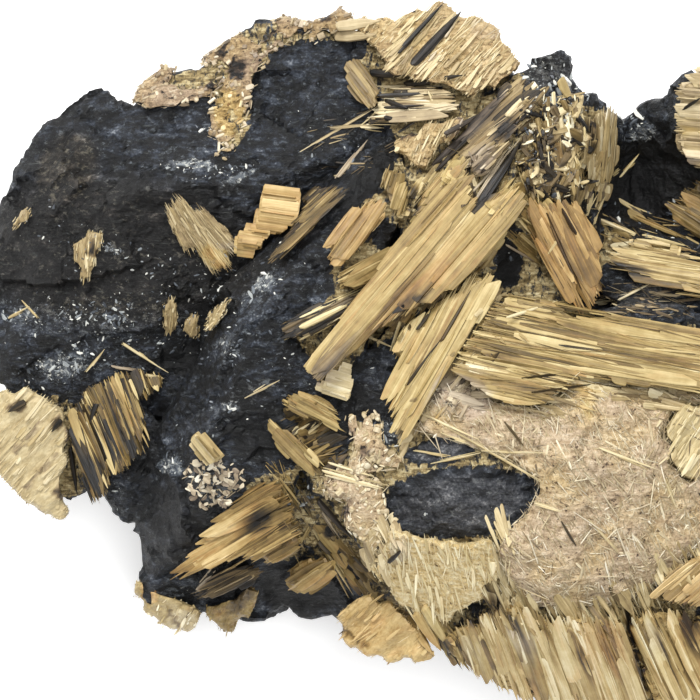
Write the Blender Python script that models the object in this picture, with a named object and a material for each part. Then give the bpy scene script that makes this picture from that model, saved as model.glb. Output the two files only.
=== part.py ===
"""Rutile on hematite: a specimen of intergrown black hematite plates, crusted with sheaves, fans and
mats of golden rutile laths. It lies on a flat broken face, with its display face up.

Everything is drawn on a square grid laid over the display face. One square is SQUARE metres, x counts
squares to the right, y counts squares down the drawing, and z counts squares up from the resting face.
"""

import math
import random

import bmesh
import bpy
import numpy as np
from mathutils import Vector, noise
from mathutils.bvhtree import BVHTree
from mathutils.geometry import delaunay_2d_cdt

# Driving dimensions, in metres.
DISPLAY_WIDTH = 0.056  # real width of the 70 squares that the display face is drawn on
GAP = 0.0003  # clearance between neighbouring crystals

# The drawing grid.
FIELD_SQUARES = 70
SQUARE = DISPLAY_WIDTH / FIELD_SQUARES
CENTRE = FIELD_SQUARES / 2
GAP_SQUARES = GAP / SQUARE

# Roughness of the broken and stepped hematite, in squares.
CRAG_NOISE = 0.42
CRAG_NOISE_SIZE = 3.1
CRAG_SEED = 3
CLEARANCE = 1.25 * GAP_SQUARES  # growing along the corners' normals narrows the gap over the edges
WAIST_HEIGHT = 0.45  # how far up each block's side its bulging waist lies
WAIST_BULGE = 0.55  # where the waist lies between the foot and the rim, seen from above

# Rutile laths, in squares.
LATH_WIDTH = 1.75
FEWEST_LATHS = 3
GROOVE = 0.12  # share of a lath's width taken by the groove beside it
LATH_STEP = 0.34  # how far neighbouring laths differ in height
LATH_END = 0.07  # share of a lath's length by which its broken end falls short
LATH_STATIONS = 1  # lengthwise parts of a lath
SHEAF_DEPTH = 2.2  # how far a group reaches into the hematite before it's cut back
SITS_OVER = 0.75  # share of the ground under a sheaf that lies below its plane
RAIL_SAMPLES = (0.1, 0.3, 0.5, 0.7, 0.9)  # where along a lath the ground under it is felt
SLOPE_BODY = 1.5  # thickness over SHEAF_DEPTH of a sheaf that has heights of its own

# Felted mats and crusts, in squares.
MAT_SPACING = 2.4
MAT_NOISE = 0.7
MAT_NOISE_SIZE = 2.7
MAT_EDGE = 0.45  # thickness of a mat's edge, as a share of its rise
MAT_JITTER = 0.3  # how far a point strays from its even place, as a share of MAT_SPACING
EDGE_CLEARANCE = MAT_SPACING / 3
INWARD = 0.3  # how far from an edge towards the middle the ground is felt where the edge overhangs
FELT_AT = ((0, 0), (1, 0), (-1, 0), (0, 1), (0, -1))  # where the ground under a point of a mat is felt

WELD = 1e-5  # points this near are one, in squares

RUTILE_FINISHES = {
    "straw": ((0.52, 0.40, 0.19), 0.5, 0.0),
    "bright": ((0.72, 0.56, 0.28), 0.4, 0.0),
    "brown": ((0.26, 0.17, 0.07), 0.5, 0.0),
    "beige": ((0.50, 0.39, 0.28), 0.7, 0.0),
}

# Each block of hematite: its rim and peaks as (x, y, z), and its foot as (x, y, z, scale), where the
# foot is the rim scaled about (x, y) and flattened at z.
HEMATITE_BLOCKS = {
    "left_plate": {
        "rim": [
            (-1.5, 27, 15), (0.1, 19.8, 15.5), (2, 16, 16), (3.3, 13, 16), (4.2, 11.7, 16),
            (6.2, 10.4, 16), (7.7, 8.8, 16), (10, 8.1, 16.5), (11.4, 9.6, 17), (13.2, 10.3, 17),
            (15.5, 7.9, 16), (20, 6.7, 16), (22.5, 4.6, 16), (26.2, 1.9, 17), (31, 2.6, 19),
            (35.5, 2.4, 20), (38.6, 8, 21), (39, 14, 22), (34, 20, 21), (28, 26, 20),
            (23, 31, 18.5), (19, 33, 17), (16.4, 37.6, 16), (10, 39.6, 16.5), (4, 39.8, 16), (-1.2, 38, 15),
        ],
        "peaks": [
            (3, 21.5, 18.5), (8, 20.6, 20.5), (13, 19.8, 22), (18, 18.6, 23), (26, 18.4, 23.5),
            (34, 15.2, 23.5), (9, 13, 18), (15, 13, 19), (21, 13, 20), (30, 7.5, 20.5), (28, 13, 21.5),
            (5, 30, 19), (12, 28, 20.5), (19, 26, 21), (10, 35, 18.6), (15, 32.5, 19),
        ],
        "foot": (19, 24, 6, 0.66),
    },
    "diagonal_plate": {
        "rim": [
            (39.2, 13.4, 23), (40.2, 16, 25), (40.2, 21, 26.5),
            (38, 26, 27), (36.5, 31, 27), (36.5, 38, 25),
            (31, 43, 25.5), (29.5, 48, 24), (27, 53, 20),
            (23.4, 58.4, 14), (22.6, 62.8, 9), (20.2, 61.2, 9), (18.2, 63.2, 9), (15.6, 62, 9.5), (14, 60.2, 11),
            (13.4, 57, 12), (13.2, 53.6, 13), (14.4, 49, 15), (15.6, 43, 17.5), (19.6, 36, 20),
            (22.4, 29, 22.5), (28, 23, 23.5), (34.6, 16.6, 23.5),
        ],
        "peaks": [
            (37, 18, 27), (32, 24, 27.8), (28, 29, 28.2), (25, 34, 28), (22.5, 41, 26.5), (20, 47, 23.5),
            (18, 54, 18.5), (31, 35, 27), (27, 42, 26),
        ],
        "foot": (26, 38, 4, 0.6),
    },
    "right_plate": {
        "rim": [
            (33, 41, 25.5), (36, 36.5, 26.5), (40, 31, 27.5), (45, 28.5, 28), (51, 30, 27.5), (58, 31, 27),
            (64, 30, 26), (70, 31, 25), (75.5, 34.5, 23), (78.6, 42, 21), (79, 50, 19), (77.5, 58, 17),
            (74.5, 66, 15), (69.5, 71.5, 13.5), (62, 72.5, 13), (54, 69.4, 14), (48.6, 67, 14),
            (45, 65.5, 14.5), (42, 61.6, 18), (40, 58.6, 22), (36, 54.6, 24), (32, 49.6, 25), (30, 46, 25),
        ],
        "peaks": [
            (40, 45, 28), (46, 50, 28.6), (53, 47, 29), (62, 46, 28), (48, 38, 28.6), (60, 38, 27.8),
            (55, 58, 26), (66, 56, 24), (71, 44, 25), (50, 61, 22.5), (62, 65, 18.5),
        ],
        "foot": (55, 50, 2, 0.62),
    },
    "central_peak": {
        "rim": [
            (42, 13.4, 22), (47, 10.4, 24), (51.5, 7.4, 25.5), (54.2, 6, 26), (56, 5, 26), (56.9, 6, 25.5),
            (56.4, 7.6, 25), (58, 9.2, 24), (60.4, 10.4, 22),
            (62.4, 12, 18.5), (62, 16, 16), (60.4, 20, 17.5),
            (60, 25, 21), (58, 30, 25), (52, 32, 27), (44, 30.5, 27.5), (40.6, 25, 27), (40, 18, 25),
        ],
        "peaks": [
            (54.6, 8.4, 28), (52, 13, 29), (49, 18, 29.4), (53.6, 20, 28), (56.6, 15, 25.5),
            (46, 24, 28.6), (51.5, 26.5, 25),
        ],
        "foot": (51, 21, 3, 0.64),
    },
    "right_wall": {
        "rim": [
            (61.6, 12.4, 17.5), (63.4, 11.6, 17.5), (64.8, 10.2, 19.5), (67.4, 8.9, 22), (69.4, 7.6, 23.5),
            (72.4, 7.2, 24), (75.2, 9, 23.5), (77.2, 15, 22),
            (78.4, 23, 21), (78.8, 31, 20.5), (77, 36, 21),
            (70, 34, 23), (63, 32.4, 23), (59.4, 27, 20.5), (59.4, 20, 15.5), (60.6, 15, 15.5),
        ],
        "peaks": [
            (63.6, 16, 13.5), (64.5, 20, 13), (67, 22.5, 14.5),
            (66.9, 15.5, 17), (67.3, 12, 22.5), (71.5, 13, 24.4),
            (71, 20, 19.5), (74, 25, 21.5), (66, 27, 21),
        ],
        "foot": (69, 22, 4, 0.6),
    },
    "lower_knob": {
        "rim": [
            (10.2, 48.6, 14.5), (11.1, 52, 13.5), (12.2, 52.6, 13),
            (14, 52.3, 13), (17, 50, 14), (18, 44, 16.5),
            (14, 41, 17), (11.6, 43.4, 16.5), (10.6, 46, 15.5),
        ],
        "peaks": [(12.4, 49, 15.6), (14.4, 45.6, 17.4)],
        "foot": (15, 46, 7, 0.7),
    },
    "upper_block": {
        "rim": [
            (35, 4, 19.5), (37, 2.6, 19.8), (40, 2.4, 20), (42.4, 1.6, 20),
            (45, 1.2, 20), (47.4, 2.9, 20), (49, 3.2, 20.5),
            (50.4, 5.4, 21.5), (51.4, 7.6, 23), (49, 11.4, 25),
            (45, 15.4, 25), (40, 17, 24), (36, 14, 21.5),
        ],
        "peaks": [(40.6, 6.4, 21.4), (45, 6.6, 22), (43, 11.4, 23.4)],
        "foot": (44, 13, 7, 0.62),
    },
    "lower_left_block": {
        "rim": [
            (0.4, 38.6, 15.6), (5, 38.4, 16), (11, 37.8, 17), (14.6, 39, 16.4),
            (13.6, 43.6, 15.6), (11, 46, 14.6), (9, 49.2, 13),
            (6.4, 50.6, 12.4), (3, 49.6, 12.4), (0.4, 47, 12.8), (-0.8, 43, 13.8),
        ],
        "peaks": [(4, 43.4, 15), (9.4, 42.6, 15.8)],
        "foot": (11, 38, 7, 0.55),
    },
    "lower_shelf": {
        "rim": [
            (21.6, 60.4, 9), (24.4, 62.8, 8.5), (26.8, 62.2, 8.5),
            (28.2, 61, 8.5), (30.6, 62.3, 8), (33.2, 61.4, 8.5),
            (36.4, 63.2, 9), (42, 63, 12), (44, 57, 18), (38, 51, 22),
            (30, 49, 21), (25, 53, 17), (22, 57, 13),
        ],
        "peaks": [(30, 57.6, 11.5), (35, 58.6, 12), (29, 53, 17.5), (38, 59, 15)],
        "foot": (33, 56, 4, 0.7),
    },
    "core": {
        "rim": [
            (3, 22, 13), (9, 14, 13), (20, 9, 13), (33, 6, 15), (44, 12, 19), (53, 11, 20), (61, 18, 12),
            (72, 16, 17), (76, 28, 17), (76, 44, 16), (72, 60, 12),
            (62, 69, 10), (48, 62, 12), (38, 57, 12),
            (26, 56, 11), (17, 52, 10), (9, 42, 12), (3, 35, 12),
        ],
        "peaks": [(20, 25, 18), (40, 35, 24), (58, 45, 24), (30, 45, 20)],
        "foot": (39, 36, 0, 0.58),
    },
}

# Each rutile crystal group: its outline as (x, y), how its laths run ("along" an angle in degrees above
# the drawing's x axis, "from" a point that they fan out of, or "mat" where they are felted), and how
# high it stands over the hematite. "heights" sets its top at the laths' start and end instead, where it
# doesn't lie on the face under it. Its finish is straw unless it names another. An earlier group keeps
# its place, and a later one is cut back from it.
RUTILE_GROUPS = {
    "rutile_long_sheaf": {
        "outline": [
            (30.8, 37.2), (31.8, 35.6), (33.4, 33.6), (35.2, 31.4), (36.6, 29.6), (38.2, 27.6),
            (40.2, 25), (41.2, 23.4), (41.6, 21.6), (42.2, 19.8), (43.6, 18), (45.4, 16.5),
            (46.8, 16.2), (46.7, 19), (47.5, 20.6), (49.4, 19.5), (51.2, 18.6), (51.9, 19.9),
            (51.1, 21.4), (49.9, 22.7), (48.6, 24.2), (47.2, 25.8), (46, 27.2), (44.6, 28.7),
            (43.4, 29.6), (42, 30.3), (40.6, 31.4), (38.6, 32.3), (37, 32.8), (36.2, 33.8),
            (35, 35.4), (33.6, 36.8), (31.9, 38.1),
        ],
        "laths": ("along", 50),
        "heights": (30.5, 31.5),
    },
    "rutile_broad_sheaf": {
        "outline": [
            (39.8, 44.6), (39.5, 42), (38.6, 40), (39.2, 37.8), (39.8, 36.2), (39.3, 34.8),
            (40.2, 32.9), (41.6, 31.6), (43, 30.7), (44.6, 29.8), (45.8, 28.6), (47, 27.6),
            (48.6, 27.4), (49.7, 28.4), (49.2, 30.2), (47.8, 31.8), (46.2, 33.8), (44.8, 36),
            (43.6, 38.2), (42.4, 40.8), (41.2, 43.6), (40.3, 45),
        ],
        "laths": ("along", 60),
        "rise": 1.8,
    },
    "rutile_peak_blades": {
        "outline": [
            (43.6, 16.8), (45.2, 15), (47, 13.2), (48.8, 11.6), (50.2, 9.6), (52, 8), (53.6, 8.8),
            (53.2, 10.8), (52.4, 12.4), (51.4, 13.8), (50, 15.4), (48.8, 17), (47.6, 18.2),
            (47.2, 16.4), (45.6, 15.9),
        ],
        "laths": ("along", 42),
        "rise": 1.1,
        "finish": "brown",
    },
    "rutile_brown_sheaf": {
        "outline": [
            (51.6, 20.9), (52.4, 20.2), (54.2, 20.6), (56, 20.3), (58, 20.9), (59, 23.2),
            (60, 25.8), (60.7, 27.9), (59.9, 29), (59.2, 30.2), (58.9, 31.2), (57.2, 31.7),
            (56.6, 30), (55.6, 28.2), (54.6, 26.4), (53.4, 24.6), (53.7, 23.2), (52.6, 22.2),
        ],
        "laths": ("along", -62),
        "heights": (30, 28.5),
        "finish": "brown",
    },
    "rutile_peak_crumbs": {
        "outline": [
            (53.6, 11.4), (55, 10.6), (56.6, 8.8), (57.6, 9.8), (58.2, 12.2), (57.7, 15.2),
            (57.9, 17.6), (57.6, 20), (54.4, 20), (52.6, 19), (52, 17), (52.8, 15.6), (54.2, 14.2),
            (53.8, 12.8),
        ],
        "laths": ("along", -75),
        "rise": 1.4,
        "finish": "brown",
    },
    "rutile_shoulder_block": {
        "outline": [
            (58.3, 15), (58.4, 12.4), (59.6, 11.6), (60.6, 10.6), (61.7, 11.4), (61.6, 14),
            (61.2, 18.1), (60, 18.2), (58.4, 17.6),
        ],
        "laths": ("along", 86),
        "rise": 1.5,
    },
    "rutile_top_crust": {
        "outline": [
            (35.6, 1.8), (40, 1.7), (42, 0.8), (43.5, 0.1), (45, 0.2), (46.3, 1.5), (48.5, 1.8),
            (49.3, 1.4), (49.8, 3), (51, 4.6), (52, 6.2), (51.6, 7.2), (50, 8), (49, 9.6),
            (47.8, 10.6), (46.4, 10.2), (45.9, 9.2), (44.4, 8.4), (41, 8.2), (38.4, 7.4),
            (37.6, 6.4), (37.9, 4.8), (36.4, 4.4), (35.4, 3.4),
        ],
        "laths": ("along", 52),
        "rise": 2.2,
    },
    "rutile_crust_lobe": {
        "outline": [
            (45.6, 11.9), (47.4, 11.2), (46.4, 12.6), (45, 14.2), (44.2, 15.6), (43.2, 17),
            (41.8, 17.3), (40.4, 16.5), (39.6, 15.5), (39.4, 14.2), (41, 13.4), (42.2, 12.5),
            (44.2, 12.3),
        ],
        "laths": ("along", 66),
        "rise": 1.7,
    },
    "rutile_leaning_lath": {
        "outline": [
            (34.4, 6.2), (35.2, 6.3), (36.7, 8), (37.9, 9.6), (37.7, 10.6), (37, 10.9), (35.8, 9.4),
            (34.6, 7.6),
        ],
        "laths": ("along", -53),
        "rise": 1.6,
        "finish": "brown",
    },
    "rutile_crossed_laths": {
        "outline": [
            (38.2, 9), (40.6, 8.7), (44.2, 8.8), (45.4, 9.6), (45.8, 10.7), (44.4, 11.8), (41, 12),
            (38.4, 11.9), (36.2, 12.8), (37.4, 11.4), (38.2, 10.4),
        ],
        "laths": ("along", 2),
        "rise": 1.0,
        "finish": "bright",
    },
    "rutile_rim_crust": {
        "outline": [
            (13.2, 9.9), (13.9, 8.3), (15.4, 7.2), (16.1, 6.4), (17.4, 6.8), (17, 8.3), (18.6, 8.7),
            (20.4, 8.5), (21.4, 7.6), (21.2, 6.3), (20.1, 6.2), (20.4, 5.4), (22.2, 4.2), (24, 3.1),
            (24.6, 3.7), (26, 4.1), (26.8, 2.8), (27.2, 1.9), (28.6, 1.6), (31, 2.1), (33, 1.5),
            (34, 0.6), (35.2, 1.6), (35, 3.1), (34, 3), (32.6, 3.5), (31.2, 4.8), (30, 4.3),
            (28.4, 4.5), (27.4, 5.2), (26.6, 6.6), (25.4, 7.2), (25.2, 10), (24.6, 12),
            (24.2, 13.6), (23.2, 14), (23.4, 15), (22.6, 16), (21.8, 15.6), (21.9, 14),
            (20.2, 13.2), (21, 12.6), (21, 11.2), (21.7, 9.9), (20.4, 9.9), (18.6, 10.4),
            (16, 10.7), (14.4, 10.6),
        ],
        "laths": ("mat", 0),
        "rise": 0.9,
        "finish": "beige",
    },
    "rutile_pendant_fan": {
        "outline": [
            (16.6, 20.4), (17.7, 19.2), (19.2, 19.9), (20.6, 21.2), (22, 22.4), (23, 23.2),
            (23.2, 24.2), (24, 25), (24.7, 25.6), (24, 26.4), (23.4, 27), (22.2, 26.8),
            (20.4, 27.2), (19.6, 26.2), (18.6, 25.4), (17.8, 24), (16.9, 22.2),
        ],
        "laths": ("from", 13.6, 13.6),
        "rise": 1.0,
    },
    "rutile_bright_block": {
        "outline": [
            (26.3, 19.3), (30, 19.9), (29.8, 21.4), (28.8, 22.6), (27.2, 22.9), (26.2, 24.2),
            (25.2, 25), (23.4, 24.5), (24, 23.4), (25.6, 22.6), (26, 21),
        ],
        "laths": ("along", -8),
        "rise": 1.9,
        "finish": "bright",
    },
    "rutile_edge_sheaf": {
        "outline": [
            (30.4, 20.2), (31.4, 19), (33.2, 18.8), (34.7, 18.9), (33.4, 20.8), (31.4, 22.4),
            (29.8, 24.2), (28.2, 25.8), (26.8, 26.4), (28, 24.6), (29, 23.2), (30.2, 21.6),
        ],
        "laths": ("along", 42),
        "rise": 1.5,
    },
    "rutile_left_leaf": {
        "outline": [
            (9.3, 21.6), (10, 22.4), (10.3, 24.4), (9.3, 25.4), (9.7, 27.4), (9.1, 28.8),
            (8.3, 28.5), (7.4, 27), (7.3, 24.2), (8.6, 23.8), (9, 22.6),
        ],
        "laths": ("along", 84),
        "rise": 0.9,
    },
    "rutile_edge_leaf": {
        "outline": [(0.7, 23), (1.6, 21.4), (2.8, 20.2), (3.1, 21.4), (2.3, 22.3), (1.4, 22.9)],
        "laths": ("along", 52),
        "rise": 0.8,
    },
    "rutile_notch_leaf_left": {
        "outline": [(16.4, 30), (17.4, 29.4), (17.7, 31.6), (17.4, 33.8), (16.4, 33.6), (16.2, 31.8)],
        "laths": ("along", 86),
        "rise": 0.9,
    },
    "rutile_notch_leaf_middle": {
        "outline": [(18.2, 32.5), (19, 31.4), (19.7, 31), (19.9, 32.4), (19.8, 33.9), (18.4, 33.5)],
        "laths": ("along", 76),
        "rise": 0.9,
    },
    "rutile_notch_leaf_right": {
        "outline": [
            (20.3, 32.6), (21, 31.2), (22.2, 30.2), (23.4, 29.5), (23, 30.8), (22, 32), (21.2, 33),
            (20.3, 33.4),
        ],
        "laths": ("along", 50),
        "rise": 1.2,
    },
    "rutile_lower_left_fan": {
        "outline": [
            (-1.6, 41), (-0.8, 39.4), (1, 38.8), (3, 38.7), (4, 39.2), (5, 39.8), (5.8, 40.5),
            (6.3, 41.6), (6.6, 43), (7, 44.2), (6.5, 45.4), (6.5, 46.4), (5.9, 47.8), (5.4, 48.8),
            (6.4, 50.2), (6.6, 51.6), (6, 52.2), (4.8, 51.9), (3.2, 51), (1.6, 49.8), (0, 48.3),
            (-1.4, 47),
        ],
        "laths": ("along", 47),
        "rise": 1.8,
    },
    "rutile_side_fan": {
        "outline": [
            (6.7, 40.9), (7.1, 40.3), (7.9, 40.6), (8.2, 39.6), (9, 38.8), (10.2, 38.4),
            (11.4, 37.3), (14, 37.2), (16, 37.8), (16.1, 38.7), (14.4, 39.4), (13.4, 40.4),
            (14.6, 43), (15.2, 45), (14, 45.2), (12.2, 47), (10.8, 47.6), (10.4, 49.6), (9.2, 50.5),
            (7.6, 50.6), (7.6, 48.6), (7.4, 46), (7.2, 43.4),
        ],
        "laths": ("from", 7.4, 26),
        "rise": 1.7,
    },
    "rutile_saddle_leaf_low": {
        "outline": [
            (32.4, 25.6), (32.8, 24.4), (33.6, 23), (34.6, 21.6), (36, 20.4), (37.6, 19.8),
            (38.7, 20.4), (38.4, 21.8), (37.4, 22.8), (36.6, 24), (35.6, 25.4), (34.6, 26.9),
            (33.9, 27.4), (33.3, 26.4),
        ],
        "laths": ("along", 56),
        "rise": 1.2,
    },
    "rutile_saddle_leaf_high": {
        "outline": [
            (38, 19.2), (38.3, 17.6), (39, 16.3), (39.9, 16.8), (39.9, 18), (40.6, 18.4),
            (40.8, 20), (40.3, 21.6), (39.4, 22), (39, 20.2),
        ],
        "laths": ("along", 74),
        "rise": 1.3,
    },
    "rutile_upper_spray": {
        "outline": [
            (33.8, 28.4), (34.2, 27.5), (36.4, 26.4), (38.6, 25.2), (40.2, 24.2), (39.8, 25.4),
            (38.4, 27), (37, 28), (35.4, 28.6), (34.4, 29),
        ],
        "laths": ("along", 30),
        "rise": 1.1,
    },
    "rutile_needle_spray": {
        "outline": [
            (28.2, 34), (28.6, 32.2), (30.6, 31.2), (33, 30.2), (35.2, 29.4), (36.4, 29.2),
            (35, 31), (34, 31.9), (32.4, 32.9), (30.6, 33.7),
        ],
        "laths": ("along", 26),
        "rise": 1.0,
    },
    "rutile_wide_sheaf": {
        "outline": [
            (46.2, 35), (47.6, 33.2), (48.9, 31.4), (49.8, 29.9), (51, 29.4), (52, 30.3),
            (54, 30.2), (55.6, 30.4), (56.4, 31.9), (58.8, 31.8), (62, 31.8), (66, 32.2),
            (70, 32.6), (75.6, 34), (77, 37), (75, 39.4), (70, 39.2), (66, 38.6), (62, 38),
            (60, 37.4), (57.8, 37.4), (56, 39.2), (54.2, 40.4), (51, 40), (48.4, 39.2),
            (46.4, 38.2), (44.9, 37.6),
        ],
        "laths": ("along", -9),
        "rise": 1.9,
    },
    "rutile_hollow_laths": {
        "outline": [
            (60.9, 25.3), (63, 24.5), (64.9, 24.2), (65.6, 25), (68, 25.3), (71.4, 26.2),
            (74.4, 28), (75, 30.6), (71.4, 29.8), (69, 28.8), (66.6, 28.2), (64, 27.9),
            (61.9, 28.3), (61.3, 27),
        ],
        "laths": ("along", -10),
        "rise": 1.7,
    },
    "rutile_hollow_edge": {
        "outline": [
            (66.8, 20.4), (68.4, 19.6), (69.4, 18.2), (72, 18), (75, 19.2), (76, 22.6), (74.6, 25),
            (71.6, 24.4), (70.4, 23.2), (68.4, 22.2),
        ],
        "laths": ("along", -32),
        "rise": 1.4,
        "finish": "brown",
    },
    "rutile_right_block": {
        "outline": [
            (67.6, 8.8), (68.6, 7.9), (70, 7), (72.2, 7), (74.6, 8.8), (75.6, 12), (75.8, 15.6),
            (73, 17), (70.4, 16.9), (68.6, 16), (67.7, 14), (67.6, 12),
        ],
        "laths": ("along", -4),
        "rise": 1.8,
        "finish": "bright",
    },
    "rutile_right_sheaf": {
        "outline": [
            (66.5, 42.6), (67.6, 40.8), (69.4, 40), (74, 40.4), (76.2, 43), (76.4, 47),
            (73.4, 48.6), (70, 48.2), (67.6, 47.4), (66.7, 45),
        ],
        "laths": ("along", 58),
        "rise": 1.5,
    },
    "rutile_woven_mat": {
        "outline": [
            (41.6, 43), (42.7, 40.8), (44, 38.4), (46.4, 38.6), (48.6, 39.6), (51, 40.4), (54, 41),
            (56, 39.9), (58, 38), (62, 38.6), (69, 39.6), (75, 39.8), (77.2, 44), (77, 50),
            (75.4, 53), (70, 54.8), (67.4, 56.4), (65.4, 58.2), (63.6, 59.6), (61.4, 60.4),
            (58, 60.9), (55, 60.8), (52.6, 59.9), (50.2, 57), (49.8, 54.8), (51, 52.6),
            (52.8, 50.8), (53.8, 48.6), (53.4, 47.4), (51, 46), (48, 44.9), (45, 43.9),
        ],
        "laths": ("mat", 0),
        "rise": 1.3,
        "finish": "beige",
    },
    "rutile_apron": {
        "outline": [
            (38.9, 50.9), (40, 52.4), (41.6, 53.8), (42.8, 52.8), (44.6, 53.8), (46.2, 54.2),
            (47.6, 54), (49, 53.4), (49.4, 55.2), (49.7, 57.4), (49.6, 59), (48.2, 60), (46.6, 61),
            (44.8, 62.2), (43.6, 63.8), (41.8, 62.9), (40.4, 61), (38.6, 58.6), (36.8, 56.6),
            (37.6, 55.6), (39, 53.8),
        ],
        "laths": ("along", -78),
        "rise": 1.5,
    },
    "rutile_cleft_ridge": {
        "outline": [
            (34.4, 41.6), (36.4, 41.2), (37.6, 41.3), (38.2, 42.4), (38.4, 44.4), (39.4, 45.2),
            (40.4, 45.9), (40.1, 46.8), (38, 47), (37, 47.4), (38, 48.2), (38.5, 49.8),
            (38.6, 51.8), (38.4, 53.8), (37.4, 55), (36.2, 55.6), (35.2, 55), (33.8, 53.2),
            (32.6, 51.4), (31.8, 49.6), (31.9, 48), (32.7, 47), (34.7, 46.6), (35.3, 45.2),
            (35.2, 43.6),
        ],
        "laths": ("mat", 0),
        "rise": 1.2,
        "finish": "beige",
    },
    "rutile_cream_wedge": {
        "outline": [
            (31.6, 38.6), (33, 37.7), (34.3, 36.8), (35, 37.2), (35.2, 38.6), (34.8, 39.9),
            (33, 39.3),
        ],
        "laths": ("along", -18),
        "rise": 1.2,
        "finish": "bright",
    },
    "rutile_basket_rim": {
        "outline": [
            (28, 41), (28.2, 40), (29.6, 39.4), (31.6, 39.8), (32.8, 40.5), (33.6, 41.6),
            (34.4, 43), (34.7, 44.8), (33.9, 44.4), (33, 42.8), (31.8, 41.7), (30.2, 41.3),
            (28.8, 41.7),
        ],
        "laths": ("along", -28),
        "rise": 1.4,
    },
    "rutile_basket_rail": {
        "outline": [
            (26.8, 42.3), (27.6, 41.8), (28.6, 43), (30, 44.5), (31.2, 45.4), (32.3, 46.2),
            (31.9, 47.3), (30.6, 46.8), (29, 45.6), (27.6, 44),
        ],
        "laths": ("along", -44),
        "rise": 1.4,
    },
    "rutile_chip": {
        "outline": [(19, 43.5), (20.2, 43.6), (21.4, 44.8), (22.2, 45.7), (21.2, 46.2), (20.3, 45.3)],
        "laths": ("along", -48),
        "rise": 1.2,
        "finish": "bright",
    },
    "rutile_lower_fan": {
        "outline": [
            (16.8, 58.3), (18.4, 56.3), (20.2, 54.3), (21.4, 52.5), (22.4, 51), (23.2, 49.9),
            (22.7, 48.9), (23.7, 48.2), (25.4, 47.6), (27.4, 47.3), (28.4, 48.6), (29.4, 50.6),
            (30.2, 53), (29.8, 55), (28, 56.1), (26, 56.3), (24.2, 55.5), (22, 56.1), (19.4, 57.3),
        ],
        "laths": ("along", 29),
        "heights": (18, 25),
    },
    "rutile_under_laths": {
        "outline": [
            (19.3, 59.4), (21, 58.3), (23, 57.3), (24.8, 56.7), (26.4, 57), (25.2, 58.1),
            (23.2, 59), (21.4, 59.7), (19.8, 60),
        ],
        "laths": ("along", 28),
        "heights": (15.5, 18),
    },
    "rutile_wedge_tip": {
        "outline": [
            (20.3, 61.4), (20.7, 60.4), (22.2, 60.6), (23.8, 59.7), (25, 58.8), (26, 58.5),
            (25.6, 60.2), (25, 61.6), (24.4, 62.8), (23, 64), (22.4, 64), (21.2, 62.8),
        ],
        "laths": ("along", 78),
        "heights": (10.5, 15),
        "finish": "brown",
    },
    "rutile_lower_tips": {
        "outline": [
            (13.2, 60.2), (13.2, 58.6), (14, 57.6), (14.9, 58.3), (15.4, 59.6), (17, 60.1),
            (18.6, 60.1), (19.4, 60.8), (19.9, 61.6), (19.4, 63), (18.2, 63.9), (17.2, 63.7),
            (15.8, 62.9), (14.2, 61.6),
        ],
        "laths": ("along", 66),
        "heights": (10, 13.5),
        "finish": "beige",
    },
    "rutile_fang": {
        "outline": [
            (28.3, 59), (28.5, 57.6), (30, 56.3), (31.8, 55.7), (33.4, 56.1), (33.4, 57.2),
            (31.6, 58.5), (30, 59.3),
        ],
        "laths": ("along", 35),
        "heights": (15, 18.5),
        "finish": "brown",
    },
    "rutile_lower_lobe": {
        "outline": [
            (33.4, 62.2), (34.2, 61.3), (35.6, 60.1), (37, 59.5), (38.5, 59.1), (40, 60.7),
            (41.4, 62.4), (42.7, 63.8), (43.5, 65), (43.4, 66), (41.6, 66.4), (39.8, 66.5),
            (37.8, 66.4), (36.4, 65.7), (35, 65), (33.4, 64.2),
        ],
        "laths": ("along", 36),
        "heights": (15.5, 19),
    },
    "rutile_lower_laths": {
        "outline": [
            (44.4, 64), (45.6, 62.7), (47, 61.7), (48.6, 61), (50.4, 60), (52, 60.6), (55, 61.5),
            (58.2, 61.7), (61.2, 61.3), (62.4, 63.4), (63.6, 66.4), (64.8, 70), (65.4, 73.4),
            (61, 73.6), (56, 71.8), (52, 70), (48.6, 68), (46, 66.4), (44.8, 65.4),
        ],
        "laths": ("along", -70),
        "rise": 1.7,
    },
    "rutile_corner_laths": {
        "outline": [
            (64.9, 59.6), (65.8, 58.4), (67.4, 56.9), (69.4, 55.7), (71, 55.2), (75, 53.8),
            (77, 55), (76, 58.6), (72.6, 60.2), (70, 60.8), (67.8, 60.2),
        ],
        "laths": ("along", 38),
        "rise": 2.0,
    },
    "rutile_corner_fringe": {
        "outline": [
            (62.8, 62), (64.6, 61), (66.6, 60.9), (68.6, 61.5), (70.6, 62), (73, 61.2),
            (75.4, 60.8), (76, 63), (74, 67.6), (70.6, 71.8), (66.4, 72.8), (65, 68.4),
            (63.8, 64.8),
        ],
        "laths": ("along", -64),
        "rise": 1.6,
    },
}


def at(x, y, z):
    """The point of the drawing grid at (x, y, z) squares, in metres."""
    return Vector(((x - CENTRE) * SQUARE, (CENTRE - y) * SQUARE, z * SQUARE))


def clear_scene():
    for thing in list(bpy.data.objects):
        bpy.data.objects.remove(thing)


def material(name, colour, roughness, metallic):
    finish = bpy.data.materials.new(name)
    finish.use_nodes = True
    shader = finish.node_tree.nodes["Principled BSDF"]
    shader.inputs["Base Color"].default_value = (*colour, 1)
    shader.inputs["Roughness"].default_value = roughness
    shader.inputs["Metallic"].default_value = metallic
    return finish


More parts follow.
